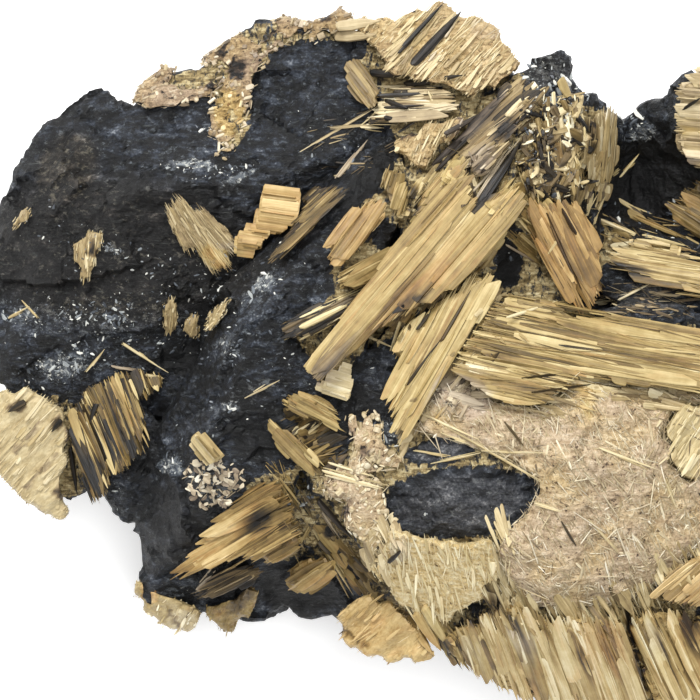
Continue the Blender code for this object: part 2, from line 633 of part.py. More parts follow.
def solid_object(name, bm, finish=None):
    """An object holding the mesh bm, whose corners are in squares."""
    for vert in bm.verts:
        vert.co = at(*vert.co)
    # The drawing's y runs down, so going to metres turns every face round.
    bmesh.ops.reverse_faces(bm, faces=bm.faces)
    mesh = bpy.data.meshes.new(name)
    bm.to_mesh(mesh)
    bm.free()
    thing = bpy.data.objects.new(name, mesh)
    bpy.context.scene.collection.objects.link(thing)
    if finish:
        mesh.materials.append(finish)
    return thing


def hide(helper):
    helper.hide_render = True
    helper.display_type = "WIRE"
    return helper


def boolean(thing, operation, other):
    step = thing.modifiers.new(operation.lower(), "BOOLEAN")
    step.operation = operation
    step.solver = "EXACT"
    step.object = other
    return step


def settle(thing):
    """Works out the thing's modifiers and keeps its largest shell: loose crumbs and sealed hollows go."""
    bpy.context.view_layer.update()
    mesh = bpy.data.meshes.new_from_object(thing.evaluated_get(bpy.context.evaluated_depsgraph_get()))
    bm = bmesh.new()
    bm.from_mesh(mesh)
    left, shells = set(bm.faces), []
    while left:
        shell, reached = set(), [left.pop()]
        while reached:
            face = reached.pop()
            shell.add(face)
            joined = {other for edge in face.edges for other in edge.link_faces} & left
            left -= joined
            reached += joined
        shells.append(shell)
    largest = max(shells, key=lambda shell: sum(face.calc_area() for face in shell))
    bmesh.ops.delete(bm, geom=[face for face in bm.faces if face not in largest], context="FACES")
    bm.to_mesh(mesh)
    bm.free()
    thing.modifiers.clear()
    thing.data = mesh


def crag(rim, peaks, foot):
    """A closed rough block, in squares: a faceted top through the rim and the peaks, and sides that bulge
    at a waist and end at a flat foot."""
    foot_x, foot_y, foot_z, scale = foot
    count = len(rim)
    outline = [Vector(point[:2]) for point in rim + peaks]
    edges = [(i, (i + 1) % count) for i in range(count)]
    _, _, triangles, origin, _, _ = delaunay_2d_cdt(outline, edges, [], 1, WELD)
    bm = bmesh.new()
    top = [bm.verts.new(point) for point in rim + peaks]
    for triangle in triangles:
        bm.faces.new([top[origin[corner][0]] for corner in triangle])
    top_edges = list(bm.edges)

    def ring(share, height):
        """The rim drawn in towards the foot: share 0 is the foot's outline, share 1 is the rim's."""
        size = scale + (1 - scale) * share
        centre, stretch = Vector((foot_x, foot_y, foot_z)), Vector((size, size, height))
        return [bm.verts.new(centre + (Vector(point) - centre) * stretch) for point in rim]

    waist = ring(WAIST_BULGE, WAIST_HEIGHT)
    base = ring(0, 0)
    for upper, lower in ((top, waist), (waist, base)):
        for i in range(count):
            j = (i + 1) % count
            bm.faces.new((upper[i], lower[i], lower[j], upper[j]))
    bm.faces.new(base)
    bmesh.ops.subdivide_edges(bm, edges=top_edges, cuts=1, use_grid_fill=True)
    bmesh.ops.triangulate(bm, faces=bm.faces)
    for vert in bm.verts:
        if vert.co.z > foot_z + WELD:
            vert.co += noise.noise_vector(vert.co / CRAG_NOISE_SIZE) * CRAG_NOISE
    bmesh.ops.recalc_face_normals(bm, faces=bm.faces)
    return bm


def hematite():
    """Makes the intergrown plates as one solid. Gives the hidden solid that keeps the rutile clear."""
    black = material("hematite_black", (0.035, 0.038, 0.048), 0.32, 0.75)
    plates = clearance = None
    for name, block in HEMATITE_BLOCKS.items():
        crystal = crag(block["rim"], block["peaks"], block["foot"])
        grown = crystal.copy()
        grown.normal_update()
        for vert, normal in [(vert, vert.normal.copy()) for vert in grown.verts]:
            vert.co += normal * CLEARANCE
        plate = solid_object("hematite", crystal, black)
        keep_out = hide(solid_object("clearance_" + name, grown))
        if plates is None:
            plates, clearance = plate, keep_out
        else:
            plate.name = "block_" + name
            boolean(plates, "UNION", hide(plate))
            boolean(clearance, "UNION", keep_out)
    settle(plates)
    settle(clearance)
    return clearance


def ground_under(clearance):
    """A function of x and y that gives the height of the hematite there, or None beside it."""
    mesh = clearance.data
    mesh.calc_loop_triangles()
    tree = BVHTree.FromPolygons(
        [vert.co[:] for vert in mesh.vertices], [triangle.vertices[:] for triangle in mesh.loop_triangles]
    )

    def ground(x, y):
        place = tree.ray_cast(at(x, y, FIELD_SQUARES), Vector((0, 0, -1)))[0]
        return place.z / SQUARE if place else None

    return ground


def lath_axes(group):
    """Two functions: from a point of the drawing to its (along, across) the laths, and back."""
    kind, *numbers = group["laths"]
    if kind == "from":
        focus = Vector(numbers)
        radius = sum((Vector(point) - focus).length for point in group["outline"]) / len(group["outline"])

        def there(x, y):
            return math.hypot(x - focus.x, y - focus.y), math.atan2(y - focus.y, x - focus.x) * radius

        def back(along, across):
            return focus.x + along * math.cos(across / radius), focus.y + along * math.sin(across / radius)

        return there, back
    angle = math.radians(numbers[0])
    run, side = Vector((math.cos(angle), -math.sin(angle))), Vector((math.sin(angle), math.cos(angle)))
    return (
        lambda x, y: (run.dot(Vector((x, y))), side.dot(Vector((x, y)))),
        lambda along, across: tuple(run * along + side * across),
    )


def span_at(outline, across):
    """The longest stretch of the line at this "across" that is inside the outline."""
    crossings = []
    for (u0, v0), (u1, v1) in zip(outline, outline[1:] + outline[:1]):
        if (v0 <= across) != (v1 <= across):
            crossings.append(u0 + (u1 - u0) * (across - v0) / (v1 - v0))
    crossings.sort()
    return max(zip(crossings[::2], crossings[1::2]), key=lambda span: span[1] - span[0])


def rails_of(group, spread=0.0):
    """The edges of each lath as (across, start, end, lift), which spread pushes outwards."""
    there, _ = lath_axes(group)
    outline = [there(x, y) for x, y in group["outline"]]
    low, high = min(v for _, v in outline), max(v for _, v in outline)
    count = max(FEWEST_LATHS, round((high - low) / LATH_WIDTH))
    width = (high - low) / count
    chance = random.Random(group["outline"][0][0])
    rails = []
    for i in range(count):
        sides = [low + width * (i + GROOVE / 2), low + width * (i + 1 - GROOVE / 2)]
        spans = [span_at(outline, side) for side in sides]
        start, end = sum(span[0] for span in spans) / 2, sum(span[1] for span in spans) / 2
        length = end - start
        start += chance.random() * LATH_END * length - spread
        end -= chance.random() * LATH_END * length - spread
        lift = chance.uniform(-LATH_STEP, LATH_STEP)
        rails += [(side, start, end, lift) for side in sides]
    for end_rail, push in ((0, -spread), (-1, spread)):
        rails[end_rail] = (rails[end_rail][0] + push, *rails[end_rail][1:])
    return rails


def lath_solid(group, rails, height, depth):
    """A closed slab of laths, in squares, whose top is at height(x, y) and each lath's own lift."""
    _, back = lath_axes(group)
    bm = bmesh.new()
    layers = []
    for across, start, end, lift in rails:
        row = [back(start + (end - start) * i / LATH_STATIONS, across) for i in range(LATH_STATIONS + 1)]
        top = [bm.verts.new((x, y, height(x, y) + lift)) for x, y in row]
        bottom = [bm.verts.new((x, y, height(x, y) - depth)) for x, y in row]
        layers.append(top + bottom[::-1])
    ring = range(len(layers[0]))
    for layer, following in zip(layers, layers[1:]):
        for i in ring:
            j = (i + 1) % len(ring)
            bm.faces.new((layer[i], layer[j], following[j], following[i]))
    for end in (layers[0], layers[-1]):
        for i in range(LATH_STATIONS):
            bm.faces.new((end[i], end[i + 1], end[-i - 2], end[-i - 1]))
    bmesh.ops.recalc_face_normals(bm, faces=bm.faces)
    return bm


def inside(outline, x, y):
    crossed = False
    for (x0, y0), (x1, y1) in zip(outline, outline[1:] + outline[:1]):
        if (y0 > y) != (y1 > y) and x < x0 + (x1 - x0) * (y - y0) / (y1 - y0):
            crossed = not crossed
    return crossed


def outset(outline, spread):
    """The outline pushed outwards by spread. Outlines run clockwise as drawn."""
    pushed = []
    for before, here, after in zip(outline[-1:] + outline[:-1], outline, outline[1:] + outline[:1]):
        edges = [(Vector(here) - Vector(before)).normalized(), (Vector(after) - Vector(here)).normalized()]
        outward = (Vector((edges[0].y, -edges[0].x)) + Vector((edges[1].y, -edges[1].x))).normalized()
        pushed.append(tuple(Vector(here) + outward * spread))
    return pushed


def mat_points(outline):
    """Scattered points inside the outline, clear of its edge."""
    chance = random.Random(len(outline))
    xs, ys = [x for x, _ in outline], [y for _, y in outline]
    inner = outset(outline, -EDGE_CLEARANCE)
    columns = int((max(xs) - min(xs)) / MAT_SPACING) + 1
    rows = int((max(ys) - min(ys)) / MAT_SPACING) + 1
    points = []
    for i in range(columns * rows):
        x = min(xs) + (i % columns + 0.5 + chance.uniform(-MAT_JITTER, MAT_JITTER)) * MAT_SPACING
        y = min(ys) + (i // columns + 0.5 + chance.uniform(-MAT_JITTER, MAT_JITTER)) * MAT_SPACING
        if inside(inner, x, y) and inside(outline, x, y):
            points.append((x, y))
    return points


def mat_solid(outline, points, height, depth):
    """A closed slab over the outline, in squares, whose top is at height(x, y)."""
    corners = outline + points
    edges = [(i, (i + 1) % len(outline)) for i in range(len(outline))]
    places = [Vector(corner) for corner in corners]
    _, _, triangles, origin, _, _ = delaunay_2d_cdt(places, edges, [], 1, WELD)
    bm = bmesh.new()
    top = [bm.verts.new((x, y, height(x, y))) for x, y in corners]
    bottom = [bm.verts.new((x, y, height(x, y) - depth)) for x, y in corners]
    for triangle in triangles:
        a, b, c = (origin[corner][0] for corner in triangle)
        bm.faces.new((top[a], top[b], top[c]))
        bm.faces.new((bottom[c], bottom[b], bottom[a]))
    for i, j in edges:
        bm.faces.new((top[i], bottom[i], bottom[j], top[j]))
    bmesh.ops.recalc_face_normals(bm, faces=bm.faces)
    return bm


def plane_over(ground, group, rails):
    """The height of a flat sheaf: a plane that lies on the ground under it, raised by the group's rise."""
    there, back = lath_axes(group)
    if "heights" in group:
        start, end = min(rail[1] for rail in rails), max(rail[2] for rail in rails)
        first, last = group["heights"]
        return lambda x, y: first + (last - first) * (there(x, y)[0] - start) / (end - start)
    rows = []
    for across, start, end, _ in rails:
        for share in RAIL_SAMPLES:
            x, y = back(start + (end - start) * share, across)
            z = ground(x, y)
            if z is not None:
                rows.append((1, x, y, z))
    rows = np.array(rows)
    fit = np.linalg.lstsq(rows[:, :3], rows[:, 3], rcond=None)[0]
    above = np.quantile(rows[:, 3] - rows[:, :3] @ fit, SITS_OVER)
    return lambda x, y: fit[0] + above + fit[1] * x + fit[2] * y + group["rise"]


def felt_over(ground, group):
    """The height of a mat: it follows the ground, thinner at its edge and hummocky inside."""
    outline = group["outline"]

    def height(x, y):
        around = [ground(x + dx, y + dy) for dx, dy in FELT_AT]
        found = [z for z in around if z is not None]
        if not found:
            nearest = min(outline, key=lambda corner: math.dist(corner, (x, y)))
            centre = [sum(values) / len(outline) for values in zip(*outline)]
            return height(*Vector(nearest).lerp(Vector(centre), INWARD))
        hummock = MAT_NOISE * noise.noise(Vector((x, y, 0)) / MAT_NOISE_SIZE)
        edge = MAT_EDGE if (x, y) in outline else 1
        return sum(found) / len(found) + group["rise"] * edge + hummock

    return height


def group_solids(group, ground):
    """The body of a group, and the upright prism over its outline that later groups stay out of."""
    outline = group["outline"]

    def sky(x, y):
        return FIELD_SQUARES

    if group["laths"][0] == "mat":
        top = felt_over(ground, group)
        body = mat_solid(outline, mat_points(outline), top, group["rise"] + SHEAF_DEPTH)
        return body, mat_solid(outset(outline, GAP_SQUARES), [], sky, 2 * FIELD_SQUARES)
    rails = rails_of(group)
    depth = group.get("rise", SLOPE_BODY) + SHEAF_DEPTH
    body = lath_solid(group, rails, plane_over(ground, group, rails), depth)
    return body, lath_solid(group, rails_of(group, GAP_SQUARES), sky, 2 * FIELD_SQUARES)


def rutile(clearance):
    """Every crystal group, cut clear of the hematite and of the groups before it."""
    ground = ground_under(clearance)
    finishes = {name: material("rutile_" + name, *look) for name, look in RUTILE_FINISHES.items()}
    kept_clear = []
    for name, group in RUTILE_GROUPS.items():
        body, prism = group_solids(group, ground)
        crystals = solid_object(name, body)
        boolean(crystals, "DIFFERENCE", clearance)
        box = bounds_of(group["outline"])
        for other, other_box in kept_clear:
            if overlap(other_box, box):
                boolean(crystals, "DIFFERENCE", other)
        kept_clear.append((hide(solid_object("cutter_" + name, prism)), box))
        settle(crystals)
        crystals.data.materials.clear()
        crystals.data.materials.append(finishes[group.get("finish", "straw")])


def bounds_of(outline):
    """The outline's box with the gap around it."""
    xs, ys = [x for x, _ in outline], [y for _, y in outline]
    return min(xs) - GAP_SQUARES, min(ys) - GAP_SQUARES, max(xs) + GAP_SQUARES, max(ys) + GAP_SQUARES


def overlap(one, other):
    return one[0] < other[2] and other[0] < one[2] and one[1] < other[3] and other[1] < one[3]


def main():
    clear_scene()
    noise.seed_set(CRAG_SEED)
    rutile(hematite())


main()
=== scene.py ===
import math

import bmesh
import bpy
import numpy as np
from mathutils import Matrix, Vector, noise
from mathutils.bvhtree import BVHTree


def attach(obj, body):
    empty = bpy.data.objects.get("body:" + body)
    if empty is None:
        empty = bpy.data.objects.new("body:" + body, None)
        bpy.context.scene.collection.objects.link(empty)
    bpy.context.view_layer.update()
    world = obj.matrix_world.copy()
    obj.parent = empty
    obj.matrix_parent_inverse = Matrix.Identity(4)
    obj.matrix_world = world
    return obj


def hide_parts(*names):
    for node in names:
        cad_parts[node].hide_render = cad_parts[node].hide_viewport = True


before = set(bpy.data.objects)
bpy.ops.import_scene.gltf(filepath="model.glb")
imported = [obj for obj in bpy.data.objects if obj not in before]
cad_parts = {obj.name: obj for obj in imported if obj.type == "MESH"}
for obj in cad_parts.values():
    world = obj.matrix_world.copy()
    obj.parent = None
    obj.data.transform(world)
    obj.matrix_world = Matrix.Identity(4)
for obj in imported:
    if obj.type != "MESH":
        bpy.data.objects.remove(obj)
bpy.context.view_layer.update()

# Rutile on hematite: golden laths, needles and felt grown over black plates. Each crystal group of the
# frame gets a bed, its solid with a grain, and layers of laths that follow the solid's own surface. What
# grows between the groups, and the single needles, chips and specks, lies on the plates and on the beds.
# A length is in metres unless its comment says mm or pixels, a place (u, v) is in the view's pixels, an
# angle is in degrees above the view's right, and a colour is written as its screen value. tone runs from
# brown at 0 to cream at 1, and hue from orange at -1 over gold at 0 to a pinkish beige at 1.

MM = 0.001
VIEW_WIDTH = 0.056  # what the 700 pixels of the view take in, at the display face
VIEW_PIXELS = 700
HALF_VIEW = VIEW_PIXELS / 2
PIXEL = VIEW_WIDTH / VIEW_PIXELS
DISPLAY_HEIGHT = 0.018  # the display face's middle height
CAMERA_DISTANCE = 0.8
SENSOR = 36  # mm
SKY = 0.06  # above everything
PLATE_VOXEL = 0.00037
BED_VOXEL = 0.0004
UP, DOWN = Vector((0, 0, 1)), Vector((0, 0, -1))
NOISE_SEED, CRYSTAL_SEED, SPECK_SEED, FIRST_GROWTH_SEED = 5, 41, 77, 100


# ---------------------------------------------------------------- small helpers


def between(low, high, share):
    return low + share * (high - low)


def here(u, v, z=0.0):
    """The point over the view's pixel (u, v), z metres up."""
    return Vector(((u - HALF_VIEW) * PIXEL, (HALF_VIEW - v) * PIXEL, z))


def heading(degrees):
    """The level direction at that angle above the view's right."""
    angle = math.radians(degrees)
    return Vector((math.cos(angle), math.sin(angle), 0))


def levelled(vector):
    return Vector((vector.x, vector.y, 0))


def linear(colour):
    """A screen colour from 0 to 255 as the linear one that a shader takes."""
    values = [c / 255 for c in colour]
    return (*(v / 12.92 if v <= 0.04045 else ((v + 0.055) / 1.055) ** 2.4 for v in values), 1)


def object_of(name, data):
    thing = bpy.data.objects.new(name, data)
    bpy.context.scene.collection.objects.link(thing)
    return thing


def worked_out(thing):
    """Gives the thing its evaluated mesh and drops its modifiers."""
    bpy.context.view_layer.update()
    graph = bpy.context.evaluated_depsgraph_get()
    mesh = bpy.data.meshes.new_from_object(thing.evaluated_get(graph))
    thing.modifiers.clear()
    thing.data = mesh
    mesh.name = thing.name
    return thing


def merged_copy(node):
    """A mesh of the frame's node with its corners joined."""
    bm = bmesh.new()
    bm.from_mesh(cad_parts[node].data)
    bmesh.ops.remove_doubles(bm, verts=bm.verts, dist=1e-6)
    return mesh_of(bm, node + "_solid")


def mesh_of(bm, name):
    """The bmesh as a mesh. The bmesh is used up."""
    mesh = bpy.data.meshes.new(name)
    bm.to_mesh(mesh)
    bm.free()
    return mesh


def evenly_meshed(name, mesh, voxel):
    """An object with the mesh's shape, in even faces of about the voxel's size."""
    piece = object_of(name, mesh)
    remesh = piece.modifiers.new("even", "REMESH")
    remesh.mode = "VOXEL"
    remesh.voxel_size = voxel
    return worked_out(piece)


def tree_of(*meshes):
    """A tree of the meshes' faces, to cast rays at."""
    corners, faces = [], []
    for mesh in meshes:
        mesh.calc_loop_triangles()
        first = len(corners)
        corners += [vert.co[:] for vert in mesh.vertices]
        faces += [[first + i for i in triangle.vertices] for triangle in mesh.loop_triangles]
    return BVHTree.FromPolygons(corners, faces)


def corners_of(mesh, key="co"):
    """The corners' places or normals, as rows."""
    values = np.empty(len(mesh.vertices) * 3, np.float32)
    mesh.vertices.foreach_get(key, values)
    return values.reshape(-1, 3)


def set_attribute(mesh, name, values, kind="FLOAT"):
    """Sets an attribute of the mesh's corners."""
    data = (mesh.attributes.get(name) or mesh.attributes.new(name, kind, "POINT")).data
    data.foreach_set("vector" if kind == "FLOAT_VECTOR" else "value", np.asarray(values).ravel())


def reshaped(mesh, places, finish):
    """Moves the mesh's corners to the places, but never under the floor, and gives it its finish."""
    places[:, 2] = np.maximum(places[:, 2], 0)
    mesh.vertices.foreach_set("co", places.ravel())
    mesh.update()
    mesh.materials.clear()
    mesh.materials.append(finish)


RAGGED = 1.4  # pixels


def pixels_of(places):
    """The places' pixels, shaken by RAGGED or so, so that what is drawn by them has ragged edges."""
    u = places[:, 0] / PIXEL + HALF_VIEW
    v = HALF_VIEW - places[:, 1] / PIXEL
    shake_u = np.sin(u * 0.31 + v * 0.57) + 0.7 * np.sin(u * 0.83 - v * 1.13)
    shake_v = np.sin(v * 0.37 - u * 0.49) + 0.7 * np.sin(v * 0.91 + u * 1.21)
    return u + RAGGED * shake_u, v + RAGGED * shake_v


def in_zones(places, zones, soft):
    """For each place the sum of the zones' shifts there. A zone is a ragged ellipse: its middle u and v,
    half its length and width in pixels, its angle, and then its shifts. soft is the share over which it
    fades."""
    u, v = pixels_of(places)
    total = 0
    for middle_u, middle_v, half_length, half_width, angle, *shifts in zones:
        c, s = math.cos(math.radians(angle)), math.sin(math.radians(angle))
        lengthwise = ((u - middle_u) * c - (v - middle_v) * s) / half_length
        crosswise = ((u - middle_u) * s + (v - middle_v) * c) / half_width
        weight = np.clip((1 - np.hypot(lengthwise, crosswise)) / soft, 0, 1)
        total = total + weight[:, None] * np.array(shifts)
    return total


def in_shape(places, outline):
    """1 for each place inside the outline, given in pixels, and 0 outside it."""
    u, v = pixels_of(places)
    inside = np.zeros(len(places), bool)
    for (u0, v0), (u1, v1) in zip(outline, outline[1:] + outline[:1]):
        if v0 != v1:
            inside ^= ((v0 > v) != (v1 > v)) & (u < u0 + (v - v0) * (u1 - u0) / (v1 - v0))
    return inside.astype(np.float32)


# ---------------------------------------------------------------- node trees


class Nodes:
    """A node tree, built by short calls."""

    def node(self, kind, inputs=None, **settings):
        made = self.tree.nodes.new(kind)
        for key, value in settings.items():
            setattr(made, key, value)
        for key, value in (inputs or {}).items():
            self.set(made.inputs[key], value)
        return made

    def set(self, socket, value):
        if isinstance(value, bpy.types.NodeSocket):
            self.tree.links.new(value, socket)
        else:
            socket.default_value = value


class Shader(Nodes):
    """A material's tree. A colour or fac that a call takes is a value or another call's socket."""

    def __init__(self, name):
        self.material = bpy.data.materials.new(name)
        self.material.use_nodes = True
        self.tree = self.material.node_tree
        self.surface = self.tree.nodes["Principled BSDF"]

    def attribute(self, name, output="Fac"):
        return self.node("ShaderNodeAttribute", attribute_name=name).outputs[output]

    def millimetres(self):
        """Object coordinates, counted in millimetres."""
        place = self.node("ShaderNodeTexCoord").outputs["Object"]
        return self.stretched(place, (1000, 1000, 1000))

    def stretched(self, vector, scale, location=(0, 0, 0), angle=0):
        turn = (0, 0, math.radians(angle))
        inputs = {"Vector": vector, "Scale": scale, "Location": location, "Rotation": turn}
        return self.node("ShaderNodeMapping", inputs).outputs["Vector"]

    def noise(self, vector, scale, detail=3.0, roughness=0.5):
        inputs = {"Vector": vector, "Scale": scale, "Detail": detail, "Roughness": roughness}
        return self.node("ShaderNodeTexNoise", inputs).outputs["Fac"]

    def cells(self, vector, scale, output="Color"):
        return self.node("ShaderNodeTexVoronoi", {"Vector": vector, "Scale": scale}).outputs[output]

    def red(self, colour):
        return self.node("ShaderNodeSeparateColor", {"Color": colour}).outputs["Red"]

    def maths(self, operation, a, b=0.0, c=0.0, clamp=False):
        made = self.node("ShaderNodeMath", operation=operation, use_clamp=clamp)
        for socket, value in zip(made.inputs, (a, b, c)):
            self.set(socket, value)
        return made.outputs["Value"]

    def swing(self, value, fac, amount, clamp=False):
        """The value, moved up and down by the amount as fac goes from 0 to 1."""
        return self.maths("MULTIPLY_ADD", self.maths("SUBTRACT", fac, 0.5), amount, value, clamp)

    def patches(self, mask, share, pattern, least, sharpness):
        """1 where the pattern plus that share of the mask passes the least, and 0 elsewhere, with an edge
        of that sharpness."""
        height = self.maths("MULTIPLY_ADD", mask, share, self.maths("ADD", pattern, -least))
        return self.maths("MULTIPLY", height, sharpness, clamp=True)

    def ramp(self, fac, stops):
        """stops are (place, colour or grey) from 0 to 1."""
        made = self.node("ShaderNodeValToRGB", {"Fac": fac})
        elements = made.color_ramp.elements
        while len(elements) < len(stops):
            elements.new(1)
        for element, (place, value) in zip(elements, stops):
            element.position = place
            element.color = (value, value, value, 1) if isinstance(value, (int, float)) else linear(value)
        return made.outputs["Color"]

    def mix(self, fac, a, b):
        made = self.node("ShaderNodeMix", data_type="RGBA")
        for name, value in (("Factor_Float", fac), ("A_Color", a), ("B_Color", b)):
            self.set(next(socket for socket in made.inputs if socket.identifier == name), value)
        return next(socket for socket in made.outputs if socket.identifier == "Result_Color")

    def bump(self, height, distance, strength, below=None):
        """A normal with the height's relief, laid over the one below it."""
        inputs = {"Height": height, "Distance": distance, "Strength": strength}
        if below:
            inputs["Normal"] = below
        return self.node("ShaderNodeBump", inputs).outputs["Normal"]

    def finish(self, **inputs):
        for key, value in inputs.items():
            self.set(self.surface.inputs[key.replace("_", " ")], value)
        return self.material


class Tree(Nodes):
    """A Geometry Nodes tree with named inputs."""

    def __init__(self, name, inputs):
        self.tree = bpy.data.node_groups.new(name, "GeometryNodeTree")
        face = self.tree.interface
        face.new_socket("Geometry", in_out="INPUT", socket_type="NodeSocketGeometry")
        self.sockets = {}
        for label, kind in inputs:
            self.sockets[label] = face.new_socket(label, in_out="INPUT", socket_type=kind).identifier
        face.new_socket("Geometry", in_out="OUTPUT", socket_type="NodeSocketGeometry")
        self.given = self.tree.nodes.new("NodeGroupInput").outputs

    def named(self, name, kind="FLOAT"):
        node = self.node("GeometryNodeInputNamedAttribute", {"Name": name}, data_type=kind)
        return node.outputs["Attribute"]

    def geometry(self, kind, inputs, **settings):
        return self.node(kind, inputs, **settings).outputs["Geometry"]

    def store(self, geometry, name, vector):
        inputs = {"Geometry": geometry, "Name": name, "Value": vector}
        kind = "GeometryNodeStoreNamedAttribute"
        return self.geometry(kind, inputs, data_type="FLOAT_VECTOR", domain="POINT")

    def drop(self, geometry, *names):
        for name in names:
            inputs = {"Geometry": geometry, "Name": name}
            geometry = self.geometry("GeometryNodeRemoveAttribute", inputs)
        return geometry

    def vector(self, operation, inputs, output="Vector"):
        return self.node("ShaderNodeVectorMath", inputs, operation=operation).outputs[output]

    def put_out(self, geometry):
        self.node("NodeGroupOutput", {"Geometry": geometry})
        return self

    def apply(self, thing, **values):
        """Runs the tree on the thing and leaves it a plain mesh."""
        step = thing.modifiers.new(self.tree.name, "NODES")
        step.node_group = self.tree
        for label, value in values.items():
            step[self.sockets[label]] = value
        return worked_out(thing)


# ---------------------------------------------------------------- the rutile's finishes


def rutile_material():
    """Silky rutile, striped along its grain. grain holds the place along and across a lath in mm."""
    s = Shader("rutile")
    grain, tone, hue = s.attribute("grain", "Vector"), s.attribute("tone"), s.attribute("hue")
    fine = s.noise(s.stretched(grain, (0.3, 8, 8)), 1.0, 5, 0.6)
    broad = s.noise(s.stretched(grain, (0.12, 1.7, 1.7), (5, 9, 2)), 1.0, 3)
    blotch = s.noise(s.millimetres(), 0.8, 5, 0.65)
    shade = s.swing(s.swing(tone, fine, 0.36), broad, 0.36)
    shade = s.swing(shade, blotch, 0.3, clamp=True)
    gold = s.ramp(shade, [
        (0.0, (14, 11, 8)), (0.16, (52, 42, 22)), (0.36, (112, 92, 51)),
        (0.56, (164, 142, 90)), (0.76, (202, 184, 134)), (1.0, (240, 231, 196)),
    ])
    orange = s.ramp(shade, [
        (0.0, (14, 9, 6)), (0.2, (70, 46, 23)), (0.5, (162, 124, 72)),
        (0.76, (210, 178, 124)), (1.0, (242, 226, 188)),
    ])
    beige = s.ramp(shade, [
        (0.0, (16, 15, 14)), (0.2, (68, 60, 53)), (0.42, (128, 113, 96)),
        (0.64, (182, 167, 142)), (0.84, (217, 206, 182)), (1.0, (242, 236, 219)),
    ])
    warm_streaks = s.noise(s.stretched(grain, (0.3, 1.1, 1.1), (2, 7, 5)), 1.0, 3)
    warmth = s.maths("SUBTRACT", s.ramp(warm_streaks, [(0.5, 0.0), (0.7, 0.5)]), hue, clamp=True)
    return s.finish(
        Base_Color=s.mix(hue, s.mix(warmth, gold, orange), beige),
        Roughness=s.ramp(fine, [(0.3, 0.4), (0.7, 0.6)]), Specular_IOR_Level=0.45,
        Normal=s.bump(fine, 0.00006, 0.8, s.bump(broad, 0.0003, 0.6)),
    )


def felt_material():
    """Fine matted rutile: mottled, with painted shade darkening its pits, and scratched across by its own
    fibres.
    """
    s = Shader("rutile_felt")
    place, tone, hue = s.millimetres(), s.attribute("tone"), s.attribute("hue")
    mottle = s.noise(place, 1.5, 6, 0.68)
    grit = s.noise(place, 4.0, 4, 0.7)
    scratch = s.noise(s.stretched(place, (0.4, 3.6, 2), angle=55), 1.0, 3)
    across = s.noise(s.stretched(place, (0.8, 7, 2), (3, 1, 0), angle=-20), 1.0, 3)
    shade = s.swing(s.swing(tone, mottle, 0.85), grit, 0.6)
    shade = s.swing(s.swing(shade, scratch, 0.6), across, 0.25)
    # painted shade: dark spots for the pits, which get no relief of their own
    painted_pit_shade = s.noise(s.stretched(place, (1, 1, 1), (9, 4, 1)), 1.5, 6, 0.75)
    painted_pit_shade = s.ramp(painted_pit_shade, [(0.36, 1.0), (0.43, 0.0)])
    shade = s.maths("MULTIPLY_ADD", painted_pit_shade, -0.5, shade, clamp=True)
    gold = s.ramp(shade, [
        (0.0, (18, 14, 10)), (0.2, (76, 58, 31)), (0.5, (168, 139, 84)),
        (0.75, (217, 190, 132)), (1.0, (246, 231, 188)),
    ])
    beige = s.ramp(shade, [
        (0.0, (24, 20, 17)), (0.2, (90, 75, 64)), (0.5, (172, 149, 125)),
        (0.75, (214, 193, 169)), (1.0, (243, 233, 218)),
    ])
    yellowed = s.ramp(s.noise(place, 0.25, 3), [(0.42, 0.0), (0.64, 0.6)])
    relief = s.bump(grit, 0.0002, 0.9, s.bump(mottle, 0.0007, 0.8))
    return s.finish(
        Base_Color=s.mix(yellowed, s.mix(hue, gold, beige), gold), Roughness=0.62, Specular_IOR_Level=0.4,
        Normal=s.bump(scratch, 0.00008, 0.8, relief),
    )


def flake_material():
    """Grey to cream mica-like flakes."""
    s = Shader("pale_flakes")
    pale = s.ramp(s.attribute("tone"), [
        (0.2, (52, 56, 62)), (0.5, (104, 110, 116)), (0.75, (170, 174, 172)), (1.0, (236, 234, 222)),
    ])
    return s.finish(Base_Color=pale, Roughness=0.45, Specular_IOR_Level=0.5)


# ---------------------------------------------------------------- the hematite


def bare_plate(s, place, shade, lift):
    """Blue-black or brown-black by the shade, with scratches and with flecks, partly pale bits and partly
    painted glints, except where pale paints a dark place's shade.
    """
    brown = s.attribute("brown")
    blue_black = s.ramp(shade, [
        (0.3, (3, 4, 5)), (0.48, (11, 13, 17)), (0.62, (30, 35, 44)), (0.78, (66, 74, 86)),
        (1.0, (160, 166, 174)),
    ])
    brown_black = s.ramp(shade, [
        (0.3, (4, 3, 3)), (0.5, (13, 11, 10)), (0.66, (36, 32, 27)), (0.82, (84, 77, 68)),
        (1.0, (168, 160, 148)),
    ])
    # clear keeps scratches and flecks off the places that pale darkens, so that their painted shade stays
    # black
    clear = s.maths("MULTIPLY_ADD", lift, 3.2, 1.0, clamp=True)
    one_way = s.noise(s.stretched(place, (0.5, 5, 3), (1, 2, 3), 50), 1.0, 5, 0.7)
    other_way = s.noise(s.stretched(place, (0.6, 6, 3), (7, 2, 5), -18), 1.0, 5, 0.7)
    scratch = s.ramp(s.maths("MAXIMUM", one_way, other_way), [(0.6, 0.0), (0.78, 0.6)])
    body = s.mix(brown, blue_black, brown_black)
    body = s.mix(s.maths("MULTIPLY", scratch, clear), body, linear((108, 112, 108)))
    # the flecks: partly pale bits, partly painted glints of the crystal faces
    speckle = s.noise(s.stretched(place, (1, 1.4, 1), (2, 6, 4), 30), 1.5, 8, 0.8)
    flecks_and_glints = s.patches(s.attribute("dust"), 0.12, speckle, 0.57, 16.0)
    flecks_and_glints = s.maths("MULTIPLY", flecks_and_glints, s.maths("MULTIPLY", clear, 0.75))
    return s.mix(flecks_and_glints, body, s.mix(brown, linear((104, 112, 120)), linear((104, 98, 84))))


